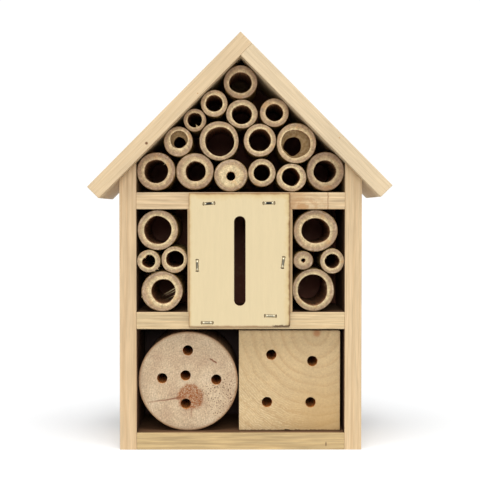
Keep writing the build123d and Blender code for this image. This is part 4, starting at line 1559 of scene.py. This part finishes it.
# %% [markdown]
# ## Torn fibres
# The saw pulls short fibres out of the bore's rim, and on a few canes whole splinters stick out.
# Hair curves would suit a brush, but a splinter is stiff and pointed, so each is a thin closed spike
# of three sides. It lies partly inside the cane, as if it grew from it.

# %% Tear some fibres, and make all the tubes
FIBRES_ON_RIM = 9
FIBRES_ON_NARROW = 3            # on a bore up to NARROW_BORE
NARROW_BORE = 5


def tear_fibres(sheet, bore_rim, skin_rim):
    """Short seeded fibres round the bore, and the cane's own listed splinters."""
    cane = sheet.cane
    chance = cane.chance
    for _ in range(FIBRES_ON_RIM if cane.bore > NARROW_BORE else FIBRES_ON_NARROW):
        base = sheet.vertices[bore_rim + chance.randrange(SIDES)].copy()
        inward = Vector((cane.bore_middle[0] - base.x / MM, 0, cane.bore_middle[1] - base.z / MM))
        inward.normalize()
        drift = Vector((chance.uniform(-0.6, 0.6), -chance.uniform(0.1, 0.3), chance.uniform(-0.6, 0.6)))
        tip = base + (inward * chance.uniform(0.3, 1.0) + drift * 0.7) * MM
        sheet.sliver(base + Vector((0, 0.15 * MM, 0)), tip, chance.uniform(0.06, 0.13) * MM)
    for angle_deg, reach_mm, swing, width in SPLINTERS.get(cane.name, ()):
        rim = skin_rim if reach_mm > 0 else bore_rim
        base = sheet.vertices[rim + round(angle_deg / 360 * SIDES) % SIDES] + Vector((0, 0.2 * MM, 0))
        angle = math.radians(angle_deg + swing)
        tip = base + Vector((math.cos(angle), -0.15, math.sin(angle))) * reach_mm * MM
        sheet.sliver(base, tip, width * MM)


def make_tube(node_name, seed):
    """One tube as a closed mesh, in place of its CAD node; returns its number of faces."""
    sheet = CaneSheet(shape_cane(node_name, seed))
    bore_rim, skin_rim = wrap_cane(sheet)
    if node_name in NODE_WALLS:
        add_node_wall(sheet)
    tear_fibres(sheet, bore_rim, skin_rim)
    piece = link_mesh(node_name + "_cane", sheet.vertices, sheet.faces, CANE_MATERIALS, sheet.kinds)
    store(piece, "wall", "FLOAT", sheet.walls)
    store(piece, "unrolled", "FLOAT_VECTOR", sheet.unrolled)
    store(piece, "tint", "FLOAT_VECTOR", sheet.tints)
    finish_piece(piece, [node_name])
    return len(piece.data.polygons)


tube_faces = [make_tube(node_name, 100 + number) for number, node_name in enumerate(tube_nodes)]
print("tubes:", len(tube_faces), "faces:", sum(tube_faces))

# %% [markdown]
# ## The end of the log
# A slice of a thin pine trunk with its bark stripped, cut with a chain saw. The end is dry and
# greyish, with a short upright fuzz. The pith is stained red-brown in an irregular star, and insects
# and resin leave dark specks on one side. The solid pine from above could be used again, but the
# heart, the specks and the fuzz would all be stains on it, and its rings hardly show here, so the
# log gets a material of its own, worked out from the pith and from the rim.

# %% Sawn log
log_low, log_high = node_box_mm("log_disc")
log_middle = Vector(((log_low[0] + log_high[0]) / 2, 0, (log_low[2] + log_high[2]) / 2))
log_radius = (log_high[0] - log_low[0]) / 2
PITH = (-36.1, 0, 36.9)
LOG_RING_MM = 1.9
LOG_BEND = 0.06                 # the rings bend over 17 mm
STAR_POINTS = 2.3               # waves of noise round the heart's edge, over its turn
HEART_MM = 4.6                  # the heart's stain, before its edge is made ragged, and its fade
HEART_FADE = 2.8
RESIN_AT = (-12.5, log_low[1], 37.0)
RESIN_REACH = (9.0, 14.0)       # full strength within the first, fading over the second
SPECK_SPREAD = 0.66             # specks 1.5 mm apart
FUZZ = (1.5, 1.0, 0.35)         # waves to a millimetre: 0.7 mm wide, 3 mm tall
CLOUDS = 0.07                   # 14 mm
SAW_TEETH = 0.9                 # 1.1 mm
MOTTLE = 1.1                    # 0.9 mm
RIM_MM = 0.3                    # the brown rim, where bark was, and how it fades inwards
RIM_FADE = 2.1
DRY_WOOD = [(0.3, "B0967A"), (0.55, "BEA789"), (0.75, "C7B295")]


def flat_distance(tree, place_mm, centre):
    """The direction and the distance from a point of the end face, leaving depth out."""
    away = add_node(tree, "VectorMath", {"operation": "SUBTRACT", 1: tuple(centre)}, {0: place_mm})
    flat = add_node(tree, "VectorMath", {"operation": "MULTIPLY", 1: (1, 0, 1)}, {0: away.outputs[0]})
    far = add_node(tree, "VectorMath", {"operation": "LENGTH"}, {0: flat.outputs[0]})
    return flat.outputs[0], far.outputs["Value"]


def log_wood(tree, place_mm, radius):
    """The dry wood: faint rings on cloudy grey-brown; returns its colour."""
    warp = add_node(tree, "TexNoise", {"Scale": LOG_BEND, "Detail": 2.0}, {"Vector": place_mm}).outputs[0]
    rings = late_wood(tree, ragged(tree, radius, warp, 9.0), LOG_RING_MM, (0.5, 0.1), 0.85)
    cloud = add_node(tree, "TexNoise", {"Scale": CLOUDS, "Detail": 3.0}, {"Vector": place_mm}).outputs[0]
    stops = [(at, linear(tone)) for at, tone in DRY_WOOD]
    base = add_node(tree, "ValToRGB", {"stops": stops}, {"Fac": cloud}).outputs[0]
    return stained(tree, base, rings, "8E6E4C", 0.14)


log_side_wood = pine(
    "stripped_log_side", GRAIN_BACK, (0.0, 0.0), 2.0, "8E6A48", "5E4128", rough=0.8, contrast=0.7
)
drilled_wood = pine("drilled_hole_wall", GRAIN_BACK, (0.0, 0.0), 2.0, "C98A45", "A5652C", rough=0.85)
print("log radius:", round(log_radius, 1), "mm")

# %% [markdown]
# ## What lies over the log's end
# Over the dry wood come the fuzz, the star of the stained heart, the specks, the rim and the cracks.
# Each could be a layer painted by hand. Here each is a mask that starts from a distance, to the pith,
# to the resin or to the middle of the slice, and noise makes its edge ragged.

# %% Stain the log's end


def log_end(name):
    """Dry sawn end grain with fuzz, a stained heart, specks, a brown rim and cracks."""
    material, tree, shader, place_mm = new_material(name)
    crack = add_node(tree, "Attribute", {"attribute_name": "crack"}).outputs["Fac"]
    flat, radius = flat_distance(tree, place_mm, PITH)
    way = add_node(tree, "VectorMath", {"operation": "NORMALIZE"}, {0: flat}).outputs[0]
    rays = streaks(tree, way, (26.0, 26.0, 26.0), 3.0, 0.7)
    grit = add_node(
        tree, "TexNoise", {"Scale": SAW_TEETH, "Detail": 6.0, "Roughness": 0.75}, {"Vector": place_mm}
    )
    fuzz = streaks(tree, place_mm, FUZZ)
    colour = dappled(tree, log_wood(tree, place_mm, radius), [
        (grit.outputs[0], 0.32, 0.68, 0.64, 1.28), (rays, 0.3, 0.7, 0.95, 1.05),
        (fuzz, 0.35, 0.65, 0.87, 1.12),
    ])
    # the stained heart: its edge runs in and out with the rays
    points = streaks(tree, way, (STAR_POINTS,) * 3, 3.0, 0.7)
    mottle = add_node(
        tree, "TexNoise", {"Scale": MOTTLE, "Detail": 4.0, "Roughness": 0.7}, {"Vector": place_mm}
    ).outputs[0]
    blotchy = add_node(
        tree, "MapRange", {"From Min": 0.6, "From Max": 0.43, "To Min": 0.25, "To Max": 1.0},
        {"Value": mottle},
    )
    star = ragged(tree, radius, points, -7.0)
    heart = between(tree, star, NO_LOW, HEART_MM, HEART_FADE, within=blotchy.outputs[0])
    colour = stained(tree, colour, heart, "864A20")
    # specks: a scatter of dark dots to the right, denser low down
    dots = add_node(tree, "TexVoronoi", {"Scale": SPECK_SPREAD, "Randomness": 1.0}, {"Vector": place_mm})
    resin = add_node(tree, "VectorMath", {"operation": "DISTANCE", 1: RESIN_AT}, {0: place_mm})
    patchy = add_node(tree, "MapRange", {"From Min": 0.4, "From Max": 0.53}, {"Value": mottle}).outputs[0]
    near = between(tree, resin.outputs["Value"], NO_LOW, *RESIN_REACH, within=patchy)
    specks = between(tree, dots.outputs["Distance"], NO_LOW, 0.18, 0.24, within=near)
    colour = stained(tree, colour, specks, "4E3420")
    # the rim, where bark was, and the cracks
    out = flat_distance(tree, place_mm, log_middle)[1]
    rim = between(tree, out, log_radius - RIM_MM, NO_HIGH, RIM_FADE)
    colour = stained(tree, colour, rim, "86603F", 0.8)
    colour = stained(tree, colour, crack, "80523A")
    height = add_node(tree, "Math", {"operation": "ADD"}, {0: grit.outputs[0], 1: mottle})
    dress(tree, shader, colour, height.outputs[0], 0.55, 0.3, 0.8, 0.25)
    return material


log_end_wood = log_end("dry_sawn_log_end")
print("nodes in the log's end:", len(log_end_wood.node_tree.nodes))

# %% [markdown]
# ## Checks and cracks
# As a slice dries it shrinks more round than across, and splits. One long check runs from the heart
# to the left, a short crack lies at the upper right and a faint one below. Bump alone would look
# flat from the side, so they are real grooves: each is a line with a width, a depth and a darkness,
# and every point of the end asks how near it is.

# %% Measure the cracks
CHECKS = [                      # start, end, half width and depth in mm, darkness at start and end
    (Vector((-67.6, 0, 32.9)), Vector((-43.6, 0, 36.6)), 0.50, 0.5, 0.3, 0.95),
    (Vector((-21.9, 0, 65.3)), Vector((-16.8, 0, 62.0)), 0.48, 0.7, 0.95, 0.95),
    (Vector((-35.2, 0, 20.5)), Vector((-35.8, 0, 28.5)), 0.45, 0.4, 0.1, 0.7),
]


def crack_at(x, z):
    """(depth in mm, darkness) of the cracks at a place on the log's end."""
    depth = dark = 0.0
    for start, end, half_width, deep, black_start, black_end in CHECKS:
        way = end - start
        here = Vector((x, 0, z)) - start
        share = here.dot(way) / way.length_squared
        if -0.03 < share < 1.03:
            bend = 0.4 * noise.noise(Vector((share * 5, start.x, 0)))
            side = 1 if here.cross(way).y > 0 else -1
            gap = abs((here - way * share).length * side + bend)
            taper = min(1.0, 6 * share + 0.35, 6 * (1 - share) + 0.35)
            edge = half_width * taper * (1 + 0.4 * noise.noise(Vector((x * 1.5, 0, z * 1.5))))
            if gap < edge * 2:
                black = black_start * (1 - share) + black_end * share
                depth = max(depth, deep * max(0.0, 1 - gap / edge))
                dark = max(dark, black * max(0.0, 1 - (gap / edge / 1.6) ** 2))
    return depth, dark


print("depth and darkness in the long check:", [round(v, 2) for v in crack_at(-50.0, 35.6)])

# %% [markdown]
# ## The log slice
# The end is a polar grid: rings of points about half a millimetre apart, so that the grooves above
# have points to bend, and the saw's slow waves show. A displaced plane would have square cells that
# fit badly round the rim. The outline is a circle with small dents, the side is rough where the bark
# came off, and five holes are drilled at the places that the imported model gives.

# %% Build the slice
LOG_SIDES = 360
LOG_RINGS = 84
LOG_BACKS = (1.2, 4.0, 10.0, 20.0, 34.0, 50.0, log_high[1] - log_low[1])
DRILL_OVER_BOX = 0.05 * MM * math.sqrt(2)       # the opening's box is this much inside the hole


def turn_of(i):
    """The cosine and sine of the log's i-th direction."""
    angle = 2 * math.pi * i / LOG_SIDES
    return math.cos(angle), math.sin(angle)


def end_point(share, i):
    """A point of the sawn end and its crack's darkness, at a share of the radius."""
    c, s = turn_of(i)
    outline = 1 - 0.006 - 0.006 * noise.noise(Vector((c * 2, s * 2, 5)))
    outline -= 0.004 * abs(noise.noise(Vector((c * 14, s * 14, 1))))
    r = share * log_radius * outline
    x = log_middle.x + r * c
    z = log_middle.z + r * s
    depth, dark = crack_at(x, z)
    saw = 0.14 * abs(noise.noise(Vector((x * 0.35, 0, z * 0.35))))
    saw += 0.05 * noise.noise(Vector((x * 1.4, 3, z * 1.4)))
    rounding = 0.5 * max(0.0, (share - 0.985) / 0.015) ** 2
    return Vector((x, log_low[1] + 0.06 + saw + depth + rounding, z)) * MM, dark


def side_point(back, i):
    """A point of the stripped side."""
    c, s = turn_of(i)
    r = log_radius * 0.988 - abs(0.5 * noise.noise(Vector((c * 6, s * 6, back * 0.05))))
    return Vector((log_middle.x + r * c, log_low[1] + back, log_middle.z + r * s)) * MM


def drills(prefix):
    """A cutter for each drilled hole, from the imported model's openings."""
    made = []
    for name, (low, high) in sorted(openings.items()):
        if name.startswith(prefix):
            radius = (high[0] - low[0]) / 2 * math.sqrt(2) + DRILL_OVER_BOX
            at = ((low[0] + high[0]) / 2, (low[2] + high[2]) / 2)
            ends = (at[0], low[1], at[1]), (at[0], high[1], at[1])
            made.append(rod("drill", *ends, radius, drilled_wood, sides=44, wobble=0.05, seed=len(made)))
    return made


sawn_points = [end_point(ring / LOG_RINGS, i) for ring in range(1, LOG_RINGS + 1) for i in range(LOG_SIDES)]
vertices = [point for point, dark in sawn_points]
middle_index = len(vertices)
vertices.append(Vector((log_middle.x, log_low[1] + 0.1, log_middle.z)) * MM)
vertices += [side_point(back, i) for back in LOG_BACKS for i in range(LOG_SIDES)]
cracks = [dark for point, dark in sawn_points]
cracks += [0.0] * (len(vertices) - len(cracks))
front_rings = [ring * LOG_SIDES for ring in range(LOG_RINGS)]
side_rings = [front_rings[-1]] + [middle_index + 1 + k * LOG_SIDES for k in range(len(LOG_BACKS))]
faces = []
kinds = []
for i in range(LOG_SIDES):
    after = (i + 1) % LOG_SIDES
    faces.append([middle_index, i, after])
    kinds.append(0)
    for kind, rings in ((0, front_rings), (1, side_rings)):
        for a, b in zip(rings, rings[1:]):
            faces.append([a + after, a + i, b + i, b + after])
            kinds.append(kind)
faces.append(list(range(side_rings[-1], side_rings[-1] + LOG_SIDES)))
kinds.append(0)
log_piece = link_mesh("log_slice", vertices, faces, [log_end_wood, log_side_wood, drilled_wood], kinds)
store(log_piece, "crack", "FLOAT", cracks)
cut(log_piece, drills("log_hole"))
finish_piece(log_piece, ["log_disc"])
print("log slice faces:", len(log_piece.data.polygons))

# %% [markdown]
# ## The wood of the block
# The block is sawn square from a bigger trunk, end grain to the front. Its heart lies just under the
# top edge, so wide, faint arcs spread down and left from there. It is the same solid pine with its
# grain running back, which draws those arcs by itself. Stains add what the saw and the years did: a
# warm tone low on the right and saw fuzz along the rings at the lower left; the torn lower edge is
# painted dark as shade where it meets the floor.

# %% Stain the block
block_low, block_high = node_box_mm("pine_block")
BLOCK_HEART = (56.3, 85.6)      # X and Z
WARM_AT = (block_high[0] - 10, block_low[1], block_low[2] - 8)
FUZZ_RING_MM = 1.6


def block_stain_and_shade(tree, place_mm, colour):
    """A warm corner at the lower right, pale hairlines at the lower left, and painted shade on the torn lower
    edge.
    """
    gap = add_node(tree, "VectorMath", {"operation": "DISTANCE", 1: WARM_AT}, {0: place_mm}).outputs["Value"]
    colour = stained(tree, colour, between(tree, gap, NO_LOW, 6.0, 54.0), "AE8A52", 0.55)
    # saw fuzz lies along the rings at the lower left, as pale hairlines
    heart = (BLOCK_HEART[0], block_low[1], BLOCK_HEART[1])
    radius = add_node(tree, "VectorMath", {"operation": "DISTANCE", 1: heart}, {0: place_mm}).outputs["Value"]
    waver = add_node(tree, "TexNoise", {"Scale": 0.12, "Detail": 3.0}, {"Vector": place_mm}).outputs[0]
    wavering = ragged(tree, radius, waver, 6.0)
    ring = add_node(tree, "Math", {"operation": "DIVIDE", 1: FUZZ_RING_MM}, {0: wavering})
    year = add_node(tree, "Math", {"operation": "FRACT"}, {0: ring.outputs[0]}).outputs[0]
    corner = add_node(tree, "VectorMath", {"operation": "DISTANCE", 1: tuple(block_low)}, {0: place_mm})
    near_corner = between(tree, corner.outputs["Value"], NO_LOW, 20.0, 44.0)
    broken = add_node(tree, "TexNoise", {"Scale": 0.55, "Detail": 3.0}, {"Vector": place_mm}).outputs[0]
    broken = between(tree, broken, 0.5, NO_HIGH, 0.08, within=near_corner)
    colour = stained(tree, colour, between(tree, year, 0.4, 0.52, 0.12, within=broken), "DCCBA6", 0.5)
    # the torn lower edge is ragged and painted dark, as shade where it meets the floor
    parts = add_node(tree, "SeparateXYZ", {}, {0: place_mm}).outputs
    torn = add_node(tree, "TexNoise", {"Scale": 0.6, "Detail": 3.0}, {"Vector": place_mm}).outputs[0]
    low_edge = between(tree, ragged(tree, parts["Z"], torn, 1.6), NO_LOW, block_low[2] + 1.5, 0.4)
    return stained(tree, colour, low_edge, "4E331D", 0.85)


block_wood = pine(
    "sawn_pine_end_grain", GRAIN_BACK, BLOCK_HEART, 7.5, "BCA279", "9C7849", rough=0.72, contrast=0.4,
    knots=[((56.4, block_low[1], 84.0), 3.6, "A5764E")], stain_and_shade=block_stain_and_shade,
)
print("block's heart:", BLOCK_HEART)

# %% [markdown]
# ## The pine block
# The block is another board, with a finer grid, because its lower front edge is torn: the saw lifted
# small splinters there, and one notch is plainly bigger. A cut with a rough tool shape would leave
# slivers of faces, so the points near the edge are simply lifted by noise. Four holes are drilled.

# %% Saw the block
TORN_UP = 2.2                   # the tear reaches this far up and back, in mm
TORN_BACK = 3.0
NOTCHES = [(34.0, 1.6, 1.3), (36.5, 1.8, 0.5)]      # place along X, width and height in mm


def tear_height(x):
    """How far the torn edge is lifted at x, in mm."""
    tear = 0.5 * abs(noise.noise(Vector((x * 0.55, 7, 0))))
    tear += 0.35 * max(0, noise.noise(Vector((x * 1.6, 3, 0))))
    return tear + sum(size * math.exp(-((x - at) / width) ** 2) for at, width, size in NOTCHES)


block = board(
    "pine_block_wood", upright_corners(block_low, block_high), block_low[1], block_high[1],
    [block_wood, drilled_wood], ease=0.3, pitch=1.2, seed=41,
)
torn_points = 0
for vertex in block.data.vertices:
    x, y, z = (c / MM for c in vertex.co)
    up = z - block_low[2]
    back = y - block_low[1]
    if up < TORN_UP and back < TORN_BACK:
        vertex.co.z += tear_height(x) * max(0.0, 1 - up / TORN_UP) * max(0.0, 1 - back / TORN_BACK) * MM
        torn_points += 1
cut(block, drills("pine_hole"))
finish_piece(block, ["pine_block"])
print("block points on the torn edge:", torn_points)
